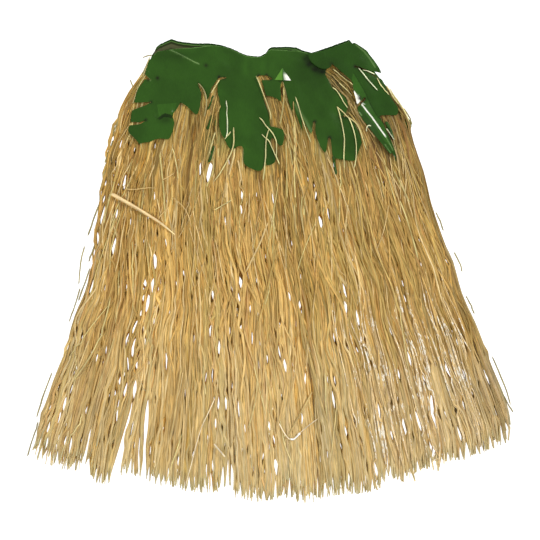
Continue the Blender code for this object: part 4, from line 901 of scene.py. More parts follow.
def strands(rng, count, samples, layer):
    """Paths, widths and colours of one layer of the fringe."""
    front = layer == "front"
    u0 = (np.arange(count) + rng.uniform(0, 1, count)) / count
    rng.shuffle(u0)
    u0 = 0.004 + 0.992 * u0
    u1 = np.clip(u0 + rng.normal(0, 0.026, count), 0.002, 0.998)
    length = rng.normal(0.998, 0.009, count)
    short = rng.uniform(0, 1, count) < 0.12
    length = np.where(short, length - rng.uniform(0.01, 0.12, count), length)
    # locks, each with its own pull, reach and length
    locks = np.sort(rng.uniform(0, 1, 92))
    owner = np.abs(u1[:, None] - locks[None, :]).argmin(axis=1)
    lock_u = locks[owner]
    pull = np.where(rng.uniform(0, 1, count) < 0.35, 0.0, rng.uniform(0.1, 0.5, count))
    length += rng.normal(0, 0.012, 92)[owner]
    length = np.minimum(length, 1.014)
    share = np.linspace(0, 1, samples)[None, :]
    v = -0.012 + (length[:, None] + 0.012) * share
    u = u0[:, None] + (u1 - u0)[:, None] * smooth(v)
    u += (lock_u[:, None] - u) * pull[:, None] * smooth((v - 0.5) / 0.5)
    u = np.clip(u + drift_of(u, v), 0, 1)
    x, y = plan(u, v)
    begun = smooth(v / 0.16)
    calm = begun * (1 - 0.52 * smooth((v - 0.45) / 0.4))
    lively = rng.gamma(4, 0.25, count)[:, None]
    x += wander(rng, count, samples, 1.8, 5.2) * calm
    loose = np.where(rng.uniform(0, 1, count) < 0.42, 1.0, 0.25)[:, None]
    x += wander(rng, count, samples, 4.4, 6.0) * calm * loose
    x += wander(rng, count, samples, 10.5, 4.0) * calm * lively
    x += wander(rng, count, samples, 17, 1.1) * begun * lively * (1 - 0.45 * smooth(v))
    x += rng.normal(0, 0.12, (count, samples)) * begun
    # each strand keeps its own distance inside the outline; few pass it
    inset = 1.6 + rng.exponential(3.2, count)
    inset = np.where(rng.uniform(0, 1, count) < 0.05, -rng.uniform(0, 3.0, count), inset)[:, None]
    left, right = column(EDGES, 0, 1, y) + inset, column(EDGES, 0, 2, y) - inset
    x = np.where(x < left, left - 0.8 * (1 - np.exp(-(left - x) / 8)), x)
    x = np.where(x > right, right + 0.8 * (1 - np.exp(-(x - right) / 8)), x)
    if front:
        half = rng.gamma(6, 1.12 / 6, count) + 0.16
    else:
        half = rng.gamma(9, 1.7 / 9, count) + 0.1
    half = np.clip(half, 0.5, 2.4)
    flat = smooth((v - 0.62) / 0.3)
    ribbon = smooth((rng.uniform(0, 1, count) - 0.35) / 0.3)[:, None] * smooth((v - 0.66) / 0.2)
    ribbon = ribbon * smooth((x - 90) / 150)
    half = half[:, None] * (1 + 0.13 * wander(rng, count, samples, 9, 1.0))
    half = half * (1 + 0.16 * flat + 0.16 * ribbon + 0.16 * (1 - smooth((v - 0.12) / 0.28)))
    tip = np.clip((1 - share) * samples / 1.6, 0.42, 1)
    half = np.clip(half, 0.5, 3.0) * tip
    x = part_strands(x, y, half, SLITS, rng)
    # height within the layer
    under, between, over = (column(LEVELS, 0, k, y) for k in (1, 2, 3))
    edge = 0.55 + 0.45 * np.clip(np.minimum(u, 1 - u) / 0.05, 0, 1)
    place = rng.uniform(0, 1, count)
    drift = wander(rng, count, samples, 3.2, 0.16)
    zeta = np.clip(place[:, None] + drift, 0, 1)
    twist = wander(rng, count, samples, 5.5, 0.5) * (1 - 0.55 * flat)
    rise = np.abs(np.sin(twist)) * half
    if front:
        low = between * edge + 0.5
        high = over * edge + lock_height(u, y) * 0.95
        crown = 1 - np.clip(np.abs(u - lock_u[:, None]) * 120, 0, 1) ** 2
        high -= 1.3 * (1 - crown) * smooth((v - 0.35) / 0.3)
    else:
        low = under
        high = between * edge
    thick = 0.24 + 0.2 * half * (1 - 0.5 * flat)
    z = low + thick + rise + zeta * np.maximum(high - low - 2 * (thick + rise), 0)
    # colour: a kind for each strand, a slow change along it, paler near the hem
    kinds = ["gold", "olive", "orange", "straw"]
    pick = rng.choice(4, count, p=[0.5, 0.27, 0.12, 0.11])
    pick = np.where(rng.uniform(0, 1, count) < 0.45, rng.choice(4, 92, p=[0.55, 0.27, 0.1, 0.08])[owner], pick)
    own = lin([RAFFIA[k] for k in kinds])[pick]
    bright = rng.normal(0, 0.105, (count, 1)) + rng.normal(0, 0.085, (92, 1))[owner]
    bright = np.clip(bright, -0.34, 0.19)
    own = own * np.exp(bright * np.array((1, 1.12, 1.5)))
    tone = own[:, None, :] * np.exp(wander(rng, count, samples, 5, 0.07))[..., None]
    tone = tone * np.exp(1.0 * bright[:, None, :] * (1 - smooth((v - 0.16) / 0.26))[..., None])
    kept = np.random.default_rng(500 + count).uniform(0, 1, (count, 1, 1))
    top = ((1 - smooth((v - 0.22) / 0.3)) * (1 - 0.35 * np.exp(-((x / 55) ** 2))))[..., None]
    tone = tone * (1 - np.array((0.3, 0.36, 0.46)) * top * (kept < 0.24))
    tone = tone * (1 + np.array((0.07, 0.07, 0.08)) * top * (kept > 0.76))
    pale = (0.62 * smooth((v - 0.45) / 0.5) * rng.uniform(0.4, 1.25, (count, 1)))[..., None]
    pale = pale * (1 - 0.8 * (1 - zeta)[..., None] ** 1.5)
    tone = tone * (1 - np.clip(pale, 0, 1)) + lin(RAFFIA["hem"]) * np.clip(pale, 0, 1)
    tone = tone * (1 - np.array((0.27, 0.28, 0.33)) * (1 - smooth((v - 0.08) / 0.42))[..., None])
    # the strands are thin and dark along the edges, pale in the lower middle
    rim = np.exp(-np.maximum(x - left, 0) / 12) * 0.12 * smooth((140 - y) / 80) + np.exp(-np.maximum(right - x, 0) / 16) * 0.3
    tone = tone * (1 - np.array((1.0, 0.9, 0.7)) * rim[..., None])
    middle = np.exp(-(((x + 15) / 75) ** 2)) * smooth((v - 0.45) / 0.2) * (1 - 0.5 * smooth((v - 0.93) / 0.06))
    middle += np.exp(-(((x + 190) / 26) ** 2)) * smooth((v - 0.5) / 0.1) * smooth((0.86 - v) / 0.1)
    tone = tone * (1 + np.array((0.05, 0.09, 0.2)) * middle[..., None])
    # lighter and darker tone, and painted shade under and beside the leaves
    for wx, wy, rx, ry, change in SHADE_AND_TONE_SPOTS:
        tone = tone * (1 + change * np.exp(-(((x - wx) / rx) ** 2) - ((y - wy) / ry) ** 2))[..., None]
    for wx, wy, rx, ry, change in WARMER:
        warm = np.exp(-(((x - wx) / rx) ** 2) - ((y - wy) / ry) ** 2)[..., None]
        tone = tone * (1 - change * np.array((0, 0.25, 1)) * warm)
    if front:  # painted shade under and beside the leaves: the strands are darker and a little green there, a painted reflection of the leaves
        near, _ = to_line(FRONT_CLOSED, x, y)
        beside, _ = to_line(SIDE_CLOSED, x, y)
        leaf_shade = np.exp(-np.minimum(near, beside) / 7)[..., None]
        tone = tone * (1 - np.array((0.22, 0.12, 0.2)) * leaf_shade)
        # deeper painted shade in two spots beside the side leaf
        shade_spot = np.exp(-(((x - 122) / 12) ** 2) - ((y - 246) / 20) ** 2)[..., None]
        tone = tone * (1 - np.array((0.52, 0.42, 0.5)) * shade_spot)
        shade_spot = np.exp(-(((x - 106) / 20) ** 2) - ((y - 286) / 28) ** 2)[..., None]
        tone = tone * (1 - np.array((0.78, 0.7, 0.74)) * shade_spot)
        greener = np.exp(-(((x + 84) / 22) ** 2) - ((y - 200) / 26) ** 2)[..., None]
        tone = tone * (1 - np.array((0.18, 0.03, 0.03)) * greener)
    # painted light: deep strands are painted lighter and warmer where the strands above shade them, but for their cut
    # ends
    deep = (1 - zeta)[..., None]
    tone = tone * (0.925 + 0.28 * deep**2)
    deep = deep * (1 - 0.65 * smooth((v - 0.88) / 0.09))[..., None]
    tone = tone * (1 - np.array((-0.02, 0.12, 0.46)) * deep)
    ends = smooth((v - length[:, None] + 0.03) / 0.03)[..., None]
    tone = tone * (1 - 0.35 * ends) + lin((208, 194, 152)) * 0.35 * ends
    tone = tone * (1 - np.array((0.22, 0.11, 0.04)) * ends)
    grey = (0.32 * ribbon)[..., None]
    tone = tone * (1 - grey) + lin(RAFFIA["ribbon"]) * grey
    gloss = rng.uniform(0, 0.5, count)[:, None] * flat + 0.8 * ribbon
    shine = np.clip(0.66 - 0.42 * gloss + 0.03 * wander(rng, count, samples, 6, 1.0), 0.22, 0.8)
    return x, y, z, half, thick, twist, np.clip(tone, 0, 0.95), shine


# ---------------------------------------------------------------- leaf cloth


def inside(loop, x, y):
    odd = np.zeros(np.shape(x), bool)
    loop = np.asarray(loop, float)
    for (ax, ay), (bx, by) in zip(np.roll(loop, 1, axis=0), loop):
        if ay == by:
            continue
        odd ^= ((ay > y) != (by > y)) & (x < (bx - ax) * (y - ay) / (by - ay) + ax)
    return odd


def to_line(points, x, y):
    """Distance from a line of points, and the side: above 0 to the right of its direction."""
    best = np.full(np.shape(x), 1e9)
    side = np.zeros(np.shape(x))
    for (ax, ay), (bx, by) in zip(points[:-1], points[1:]):
        dx, dy = bx - ax, by - ay
        length = dx * dx + dy * dy + 1e-12
        t = np.clip(((x - ax) * dx + (y - ay) * dy) / length, 0, 1)
        d = np.hypot(x - ax - t * dx, y - ay - t * dy)
        closer = d < best
        best = np.where(closer, d, best)
        side = np.where(closer, (x - ax) * dy - (y - ay) * dx, side)
    return best, side


def ridge(x, y, start, end, left, right, rise):
    a, b = np.array(start, float), np.array(end, float)
    length = np.linalg.norm(b - a)
    dx, dy = (b - a) / length
    along = (x - a[0]) * dx + (y - a[1]) * dy
    across = (x - a[0]) * dy - (y - a[1]) * dx
    t = np.clip(1 - np.abs(across) / np.where(across > 0, right, left), 0, 1)
    fade = smooth((along + 0.15 * length) / (0.4 * length))
    fade = fade * smooth((1.15 * length - along) / (0.4 * length))
    return rise * fade * (0.55 * t + 0.45 * smooth(t))


def ripples(x, y, seed, size):
    """Slow unevenness of the cloth, never below zero."""
    rng = np.random.default_rng(seed)
    total = np.zeros(np.shape(x))
    for reach in (90, 64, 44, 30):
        for _ in range(2):
            way = rng.uniform(0, 2 * np.pi)
            phase = rng.uniform(0, 2 * np.pi)
            k = 2 * np.pi / (reach * rng.uniform(0.85, 1.2))
            total += (reach / 60) * np.sin(k * (x * np.cos(way) + y * np.sin(way)) + phase)
    return size * (1 + np.tanh(total / 1.6)) / 2


def folds_of(piece, x, y):
    height = np.zeros(np.shape(x))
    for name, start, end, left, right, rise in FOLDS:
        if name == piece:
            height = np.maximum(height, ridge(x, y, start, end, left, right, rise))
    for name, half, rise, _, points in CREASES:
        if name == piece:
            d, _ = to_line(points, x, y)
            ends = np.minimum(*(np.hypot(x - p[0], y - p[1]) for p in (points[0], points[-1])))
            height = height + rise * smooth(1 - d / (2.2 * half)) * smooth(ends / 5)
    return height


FRONT_LOOP = FRONT + FRONT_TOP
SIDE_LOOP = SIDE + SIDE_TOP
FRONT_CLOSED = FRONT_LOOP + FRONT_LOOP[:1]
SIDE_CLOSED = SIDE_LOOP + SIDE_LOOP[:1]


def front_z(x, y):
    """Underside of the front garland."""
    z = column(LEVELS, 0, 3, y) + LIFT
    rim, _ = to_line(FRONT_CLOSED, x, y)
    z = z + folds_of("front", x, y) + ripples(x, y, 5, 1.0)
    z += 0.4 * smooth(rim / 3.2)
    crest, _ = to_line([FRONT[-1], *FRONT_TOP, FRONT[0]], x, y)
    return z + 0.4 * smooth(crest / 4.5)


def side_z(x, y):
    """Underside of the side leaf: over the garland's right end, then down beside it."""
    past = smooth((x - 138) / 36)
    z = column(LEVELS, 0, 3, y) + LIFT + (1 - past) * 4.6 + past * 0.8
    z = z + folds_of("side", x, y) + ripples(x, y, 9, 0.9)
    rim, _ = to_line(SIDE_CLOSED, x, y)
    z += 0.4 * (1 - 0.8 * smooth((x - 134) / 12)) * smooth(rim / 4.2)
    d, way = to_line(VALLEY, x, y)
    curl = 0.06 * np.minimum(d, 3) + 0.05 * np.clip(d - 3, 0, None)
    # its outer corner above the cut is bent up steeply
    corner = 0.2 * np.clip(0.85 * (133 - x) + 0.5 * (268 - y) + 6, 0, None) * smooth((y - 254) / 3) * smooth((290 - y) / 12)
    lower = smooth((306 - y) / 14)
    return z + np.where(way > 0, curl + np.minimum(corner, 3.4), 0.06 * np.minimum(d, 8)) * lower


def back_z(x, y):
    rim, _ = to_line(BACK_LOOP + BACK_LOOP[:1], x, y)
    return 0.02 + 0.35 * smooth(rim / 6) * ripples(x, y, 13, 1.0)


def finer(loop, step):
    out = []
    for (ax, ay), (bx, by) in zip(loop, loop[1:] + loop[:1]):
        parts = max(1, int(np.ceil(np.hypot(bx - ax, by - ay) / step)))
        out += [(ax + (bx - ax) * k / parts, ay + (by - ay) * k / parts) for k in range(parts)]
    return out


def rounded(corners, cut, fixed=()):
    out = []
    count = len(corners)
    for i, corner in enumerate(corners):
        if i in fixed:
            out.append(corner)
            continue
        here, before, after = (
            np.array(corners[k % count], float) for k in (i, i - 1, i + 1)
        )
        reach_a = min(cut, 0.4 * np.linalg.norm(before - here))
        reach_b = min(cut, 0.4 * np.linalg.norm(after - here))
        a = here + (before - here) / np.linalg.norm(before - here) * reach_a
        b = here + (after - here) / np.linalg.norm(after - here) * reach_b
        for t in (0, 0.25, 0.5, 0.75, 1):
            p = (1 - t) ** 2 * a + 2 * t * (1 - t) * here + t * t * b
            out.append((float(p[0]), float(p[1])))
    return out


def back_loop():
    corners = [p for row in BACK_LOBES for p in row[1:]]
    xs = [x for x, _ in reversed(WAIST_BACK) if -176 < x < 126]
    fixed = {3 * i for i in range(len(BACK_LOBES))}
    edge = [(132, 348.5)] + [
        (x, float(column(WAIST_BACK, 0, 1, x)) - 2.0) for x in xs
    ]
    fixed |= {len(corners) + k for k in range(len(edge))}
    return rounded(corners + edge, 8, fixed)


BACK_LOOP = back_loop()


def wall_mesh(name, piece, loop, height, wall, grid, lines=()):
    """A closed wall of cloth on its outline, with a fine grid inside."""
    rim = finer(loop, grid * 1.1)
    arr = np.array(rim)
    xs = np.arange(arr[:, 0].min(), arr[:, 0].max(), grid)
    ys = np.arange(arr[:, 1].min(), arr[:, 1].max(), grid * 0.87)
    gx, gy = np.meshgrid(xs, ys)
    gx = gx + (np.arange(len(ys)) % 2)[:, None] * grid / 2
    own = []
    for start, end, offsets in lines:
        a, b = np.array(start, float), np.array(end, float)
        length = np.linalg.norm(b - a)
        n = np.array(((b - a)[1], -(b - a)[0])) / length
        for t in np.linspace(0, 1, max(2, int(length / 1.8))):
            for off in offsets:
                own.append(a + (b - a) * t + n * off)
    turn = np.roll(arr, -1, axis=0) - np.roll(arr, 1, axis=0)
    turn /= np.linalg.norm(turn, axis=1, keepdims=True) + 1e-9
    across = np.column_stack([-turn[:, 1], turn[:, 0]])
    for deep in (0.9, 2.0, 3.4):
        for way in (1, -1):
            ring = (arr + way * deep * across)[:: 1 if grid < 3 else 2]
            away, _ = to_line(rim + rim[:1], ring[:, 0], ring[:, 1])
            own += list(ring[inside(rim, ring[:, 0], ring[:, 1]) & (away > 0.9 * deep)])
    for own_piece, corners in [(row[0], row[-1]) for row in FACES + PAINTED_GLARE]:
        if own_piece == piece:
            for (ax, ay), (bx, by) in zip(corners, corners[1:] + corners[:1]):
                span = np.hypot(bx - ax, by - ay)
                for t in np.arange(0, 1, 1.2 / max(span, 1.2)):
                    for off in (-0.45, 0.45):
                        n = np.array((by - ay, ax - bx)) / span
                        own.append(np.array((ax + (bx - ax) * t, ay + (by - ay) * t)) + n * off)
    for px, py, radius, _ in SCORCHES:
        for r, around in ((0, 1), (0.45 * radius, 6), (0.95 * radius, 9)):
            for k in range(around):
                own.append(np.array((px + r * np.cos(k * 6.283 / around), py + r * np.sin(k * 6.283 / around))))
    x, y = gx.ravel(), gy.ravel()
    if own:
        own = np.array(own)
        near = np.full(len(x), 1e9)
        for px, py in own:
            near = np.minimum(near, np.hypot(x - px, y - py))
        keep = near > 0.5 * grid
        far = [0]  # points of their own stay apart from each other
        for k in range(1, len(own)):
            if np.hypot(*(own[far] - own[k]).T).min() > 0.6:
                far.append(k)
        own = own[far]
        x = np.concatenate([x[keep], own[:, 0]])
        y = np.concatenate([y[keep], own[:, 1]])
    d, _ = to_line(rim + rim[:1], x, y)
    keep = inside(rim, x, y) & (d > np.where(np.arange(len(x)) < len(x) - len(own), 0.5 * grid, 0.4))
    flat = [Vector(p) for p in rim] + [Vector(p) for p in zip(x[keep], y[keep])]
    made = delaunay_2d_cdt(flat, [], [list(range(len(rim)))], 1, 1e-6)
    verts = np.array([(p.x, p.y) for p in made[0]])
    tris = np.array([tuple(f) for f in made[2]])
    a, b, c = (verts[tris[:, k]] for k in range(3))
    area = np.cross(b - a, c - a)
    tris = np.where((area > 0)[:, None], tris, tris[:, ::-1])
    tris = tris[np.abs(area) > 1e-7]
    low = height(verts[:, 0], verts[:, 1])
    count = len(verts)
    points = np.concatenate(
        [np.column_stack([verts, low]), np.column_stack([verts, low + wall])]
    )
    ends = set()
    for p, q, r in tris.tolist():
        ends |= {(p, q), (q, r), (r, p)}
    edge = np.array([e for e in ends if (e[1], e[0]) not in ends])
    sides = np.column_stack([edge[:, 0], edge[:, 1], edge[:, 1] + count, edge[:, 0] + count])
    x, y = verts[:, 0], verts[:, 1]
    shade = 1 + 0.10 * (ripples(x, y, 21, 2.0) - 1)
    # painted light and shade, and lighter and darker tone
    for own_piece, px, py, rx, ry, change in LIGHT_SHADE_AND_TONE:
        if own_piece == piece:
            shade += change * np.exp(-(((x - px) / rx) ** 2) - ((y - py) / ry) ** 2)
    for own_piece, change, corners in FACES:
        if own_piece == piece:
            shade += change * inside(corners, x, y)
    tone = lin(LEAF[piece])[None, :] * np.maximum(shade, 0.12)[:, None]
    # painted highlights along the creases: pale green, or white glare past 0.8
    for own_piece, half, _, highlight_share, line in CREASES:
        if own_piece == piece:
            d, _ = to_line(line, x, y)
            crease_highlight = highlight_share * (np.exp(-((d / (1.1 * half)) ** 2)) if highlight_share < 0.8 else np.clip(1.5 - d / half, 0, 1))
            crease_highlight = crease_highlight[:, None]
            tone = tone * (1 - crease_highlight) + lin((150, 186, 118) if highlight_share < 0.8 else (252, 254, 246)) * crease_highlight
    # painted glare: white where the glossy cloth reflects the lamp
    for own_piece, corners in PAINTED_GLARE:
        if own_piece == piece:
            tone = np.where(inside(corners, x, y)[:, None], lin((252, 254, 246)), tone)
    burnt = np.zeros(len(x))
    for px, py, radius, strength in SCORCHES:
        burnt = np.maximum(burnt, strength * np.exp(-(((x - px) ** 2 + (y - py) ** 2) / radius**2)))
    tone = tone * (1 - burnt[:, None]) + lin((24, 20, 14)) * burnt[:, None]
    obj = build(
        name,
        points,
        [tris + count, tris[:, ::-1], sides],
        np.concatenate([tone, tone]),
    )
    obj.data.set_sharp_from_angle(angle=np.radians(55))
    # smooth normals straight from the height of the cloth; those of the rim are taken a little inside
    px, py = verts[:, 0].copy(), verts[:, 1].copy()
    centre = np.zeros((count, 2))
    seen = np.zeros(count)
    for k in range(3):
        np.add.at(centre, tris[:, k], (verts[tris].mean(axis=1)))
        np.add.at(seen, tris[:, k], 1)
    inward = centre / seen[:, None] - verts
    inward /= np.linalg.norm(inward, axis=1, keepdims=True) + 1e-9
    on_rim = np.unique(edge)
    px[on_rim] += 0.5 * inward[on_rim, 0]
    py[on_rim] += 0.5 * inward[on_rim, 1]
    step = 0.3
    slope_x = (height(px + step, py) - height(px - step, py)) / (2 * step)
    slope_y = (height(px, py + step) - height(px, py - step)) / (2 * step)
    normal = np.column_stack([-slope_x, -slope_y, np.ones(count)])
    normal /= np.linalg.norm(normal, axis=1, keepdims=True)
    custom = np.concatenate(
        [normal[tris].reshape(-1, 3), -normal[tris[:, ::-1]].reshape(-1, 3), np.zeros((sides.size, 3))]
    )
    obj.data.normals_split_custom_set(custom.tolist())
    return obj


def fold_lines(piece):
    rows = [(start, end, (-left, 0, right)) for own, start, end, left, right, _ in FOLDS if own == piece]
    for own, half, _, _, points in CREASES:
        if own == piece:
            offsets = tuple(half * k for k in (-2.2, -1.5, -0.8, 0, 0.8, 1.5, 2.2))
            rows += [(a, b, offsets) for a, b in zip(points[:-1], points[1:])]
    return rows


# ---------------------------------------------------------------- waistband


def make_band():
    """The flattened casing: its front half over its back one, gathered a little by its elastic."""
    rng = np.random.default_rng(31)
    reach = 1.25
    front_z, back_z = 5.65, 2.65
    # section of the casing: share along the outward normal, distance below the top edge
    outer = [(1, d) for d in (48, 30, 20, 14, 10, 7, 5, 3.6, 2.6, 1.8)]
    top = [(0.86, 0.9), (0.5, 0.25), (0, 0), (-0.5, 0.25), (-0.86, 0.9)]
    inner = [(-1, d) for d in (1.8, 2.6, 3.6, 4.6, 5.6, 7, 8.6, 10.6, 13, 16, 20, 30, 48)]
    section = outer + top + inner
    stations = []  # x, z, outward normal, top edge, which half
    front_xs = np.append(np.arange(-186, 131.5, 2.4), 132)
    back_xs = np.append(np.arange(-180.8, 131.5, 2.4), 132)
    for x in front_xs:
        y = float(column(WAIST_FRONT, 0, 1, x)) + rng.normal(0, 0.2)
        stations.append((x, front_z, 0, 1, y, "front"))
    for k in (1, 2, 3):
        a = np.pi / 2 * (1 - k / 2)
        stations.append(
            (132 + 1.6 * np.cos(a), 4.15 + 1.5 * np.sin(a), np.cos(a), np.sin(a), 349 + 0.35 * k, "end")
        )
    for x in back_xs[::-1]:
        y = float(column(WAIST_BACK, 0, 1, x)) + rng.normal(0, 0.2)
        stations.append((x, back_z, 0, -1, y, "back"))
    for k in (1, 2, 3):
        a = -np.pi / 2 - np.pi / 2 * (k / 2)
        stations.append(
            (-181.5 - 1.1 * k, 4.15 + 1.5 * np.sin(a), np.cos(a), np.sin(a), 341 - 2.6 * k, "end")
        )
    points, tone = [], []
    dark, mid, light = lin((12, 34, 8)), lin(LEAF["band"]), lin((104, 146, 76))
    brown, strip = lin((40, 50, 24)), lin((98, 100, 70))
    for x, z, nx, nz, y_top, where in stations:
        low = float(band_low(x))
        for share, drop in section:
            y = max(y_top - drop, low) if drop < 48 else low
            puff = 0.25 * np.sin(x * 0.9) * np.exp(-drop / 12)
            # the left end leans out toward its lower edge
            lean = -0.36 * (y_top - y) * smooth((-150 - x) / 32)
            points.append(
                (x + lean + nx * share * reach, y, z + nz * (share * reach) + puff * (where == "front"))
            )
            colour = mid
            # painted highlights: a light line along the top fold of the front half, and one just below the top of the
            # back half's inner face
            if drop < 1.6:
                colour = 0.45 * dark + 0.55 * mid
            if where == "front" and drop < 1.9:
                colour = 0.25 * mid + 0.75 * light
            if where == "back" and share < 0:
                if drop < 3.2:
                    colour = 0.4 * dark + 0.6 * mid
                elif drop < 4.2:
                    colour = light * 0.75
                elif x < -100 and 8 < drop < 14 + 0 * x:
                    colour = strip * 0.6 + brown * 0.4
                else:
                    colour = brown if x < -95 else 0.5 * dark + 0.5 * mid
            tone.append(colour)
    count, sides = len(stations), len(section)
    index = np.arange(count * sides).reshape(count, sides)
    a, b = index, np.roll(index, -1, axis=0)
    nxt = np.roll(np.arange(sides), -1)
    quads = np.stack([a, b, b[:, nxt], a[:, nxt]], axis=2).reshape(-1, 4)
    obj = build("band", np.array(points), [quads], np.array(tone))
    obj.data.set_sharp_from_angle(angle=np.radians(60))
    return obj


# ---------------------------------------------------------------- pinched fold of the garland


def make_tent():
    """The small tent that the cloth makes above a slit: two faces that meet on a ridge, open below."""
    apex, left, right, end = (18.6, 313.6), (6.4, 294.9), (32, 294.0), (20.2, 294.2)
    rows = 9
    points, faces = [], []

    def place(t, s):
        """t from the apex to the base, s from -1 at the left, 0 on the ridge, to 1 at the right."""
        a, l, r, m = (np.array(p, float) for p in (apex, left, right, end))
        mid = a + (m - a) * t
        side = a + ((l if s < 0 else r) - a) * t
        p = mid + (side - mid) * abs(s)
        lift = 4.6 * t * (1 - abs(s)) ** (1.15 if s < 0 else 1.0) + 0.12
        z = (1 - t) * base[0] + t * ((1 - abs(s)) * base[3] + abs(s) * base[1 if s < 0 else 2])
        return (p[0], p[1], z + lift)

    corners = np.array([apex, (left[0], left[1] + 2), (right[0], right[1] + 2)])
    base = front_z(corners[:, 0], corners[:, 1]) + WALL + 0.1
    base = [*base, float(base.mean())]
    shares = np.linspace(-1, 1, 9)
    for layer in (0.0, 0.5):
        points.append((*place(0.02, 0)[:2], place(0.02, 0)[2] + layer))
        for i in range(1, rows + 1):
            for s in shares:
                p = place(i / rows, s)
                points.append((p[0], p[1], p[2] + layer))
    n = 1 + rows * len(shares)
    w = len(shares)
    at = lambda i, j: 0 if i == 0 else 1 + (i - 1) * w + j
    tris = []
    for j in range(w - 1):
        tris.append((0, at(1, j), at(1, j + 1)))
        for i in range(1, rows):
            tris += [
                (at(i, j), at(i + 1, j), at(i + 1, j + 1)),
                (at(i, j), at(i + 1, j + 1), at(i, j + 1)),
            ]
    ends = set()
    for t in tris:
        for e in ((t[0], t[1]), (t[1], t[2]), (t[2], t[0])):
            ends.add(e)
    rim = [e for e in ends if (e[1], e[0]) not in ends]
    tris = np.array(tris)
    sides = np.array([(p, q, q + n, p + n) for p, q in rim])
    # painted light: the left face is painted lit, the right face painted in shade with a painted glare toward its lower
    # right
    lit_face, shaded_face, glare = lin((92, 146, 54)), lin((50, 92, 32)), lin((244, 248, 238))
    one = [lit_face]
    for i in range(1, rows + 1):
        for q in shares:
            glare_share = smooth((i / rows - 0.35) / 0.3) * smooth((q - 0.02) / 0.4)
            one.append(lit_face if q < -0.01 else shaded_face * (1 - glare_share) + glare * glare_share)
    tone = np.array(one + one)
    obj = build("garland_fold", np.array(points), [tris + n, tris[:, ::-1], sides], tone)
    obj.data.set_sharp_from_angle(angle=np.radians(35))
    return obj


# ---------------------------------------------------------------- loose strands


def top_of(x, y):
    """Height of what lies at a place: leaf cloth or fringe."""
    z = column(LEVELS, 0, 3, y) - 0.6
    x_l, x_r = column(SIDES, 0, 1, y), column(SIDES, 0, 2, y)
    share = np.clip((x - x_l) / (x_r - x_l), 0, 1)
    z = z + lock_height(share, y) * 0.9
    f = front_z(x, y) + WALL
    s = side_z(x, y) + WALL
    z = np.where(inside(FRONT_LOOP, x, y), np.maximum(z, f), z)
    return np.where(inside(SIDE_LOOP, x, y), np.maximum(z, s), z)


def curve_through(points, samples):
    """Catmull-Rom line through the points, evenly spaced."""
    p = np.array(points, float)
    p = np.concatenate([[2 * p[0] - p[1]], p, [2 * p[-1] - p[-2]]])
    fine = []
    for i in range(1, len(p) - 2):
        t = np.linspace(0, 1, 14, endpoint=False)[:, None]
        a, b, c, d = p[i - 1], p[i], p[i + 1], p[i + 2]
        fine.append(
            0.5 * (2 * b + (c - a) * t + (2 * a - 5 * b + 4 * c - d) * t**2 + (3 * b - a - 3 * c + d) * t**3)
        )
    fine = np.concatenate([*fine, p[-2:-1]])
    run = np.concatenate([[0], np.cumsum(np.hypot(*np.diff(fine, axis=0).T))])
    at = np.linspace(0, run[-1], samples)
    return np.interp(at, run, fine[:, 0]), np.interp(at, run, fine[:, 1])


def make_strays(samples=34):
    rng = np.random.default_rng(77)
    rows = [*STRAYS, ("straw", 6.0, 2.6, [(-247.3, 117), (-210, 95.5), (-174.4, 73.8), (-149, 53.8)])]
    data = []
    for kind, width, lift, points in rows:
        x, y = curve_through(points, samples)
        t = np.linspace(0, 1, samples)
        n = 0.25 * wander(rng, 1, samples, 7, 1.0)[0]
        x = x + n
        around = [top_of(x + dx, y + dy) for dx in (-2.4, 0, 2.4) for dy in (-2.4, 0, 2.4)]
        ground = np.max(around, axis=0)
        for _ in range(3):
            ground = np.maximum(ground, np.convolve(np.pad(ground, 1, "edge"), [0.3, 0.4, 0.3], "valid"))
        half = np.full(samples, width / 2)
        if kind == "straw":
            half = np.interp(t, [0, 0.06, 0.5, 0.85, 1], [2.4, 3.1, 2.6, 1.7, 0.9])
            z = np.maximum(ground + 1.2, np.linspace(20.0, 16.5, samples))
        else:
            over_leaf = (inside(FRONT_LOOP, x, y) | inside(SIDE_LOOP, x, y)).mean() > 0.45
            half = (0.62 if over_leaf else 0.95 if kind == "edge" else 0.72) * half * (1 + 0.1 * wander(rng, 1, samples, 6, 1.0)[0])
            half = half * np.clip(np.minimum(t * 14 + 0.25, (1 - t) * 14 + 0.25), 0.25, 1)
            z = ground + lift + (2.4 if not over_leaf and lift > 0 and x[0] < 0 else 0.4)
        thick = 0.3 + 0.12 * half if kind != "straw" else 0.55 * half
        z = np.maximum(z, 0.6 + thick)
        twist = wander(rng, 1, samples, 3, 0.3)[0] * (kind not in ("straw", "edge"))
        tone = lin(RAFFIA["bright" if kind == "straw" else kind if kind in RAFFIA else "pale"])
        if kind == "straw":
            tone = lin((238, 208, 150))
        elif over_leaf and kind == "pale":
            tone = lin((212, 206, 142))
        elif kind == "bright" and y[0] < 0:
            tone = lin((240, 222, 184))
        # painted shade: tan strands in the notch beside the side leaf are darker
        elif kind == "tan" and y[0] > 262 and x[0] > 90:
            tone = lin((158, 134, 78))
        elif not over_leaf and kind == "tan" and x[0] < 0:
            tone = lin((222, 190, 124))
        elif kind == "leaf":
            tone = lin((41, 75, 16))
        elif kind == "white":
            tone = lin((250, 246, 234))
        tone = tone * np.exp(rng.normal(0, 0.06))
        tone = tone[None, :] * np.exp(wander(rng, 1, samples, 5, 0.06)[0])[:, None]
        shine = np.full(samples, 0.34 if kind == "bright" else 0.45)
        data.append((x, y, z, half, thick, twist, tone, shine))
    cols = [np.array(col) for col in zip(*data)]
    section = np.array([(-1, -0.1), (-0.5, 0.75), (0.35, 0.8), (1, 0.05), (0.5, -0.7), (-0.4, -0.75)])
    return strand_mesh("fringe_strays", *cols, section, 5.0)


RIBBON = np.array(
    [(-1, 0), (-0.5, 0.5), (0, 0.38), (0.5, 0.5), (1, 0), (0.4, -0.45), (-0.4, -0.45)]
)


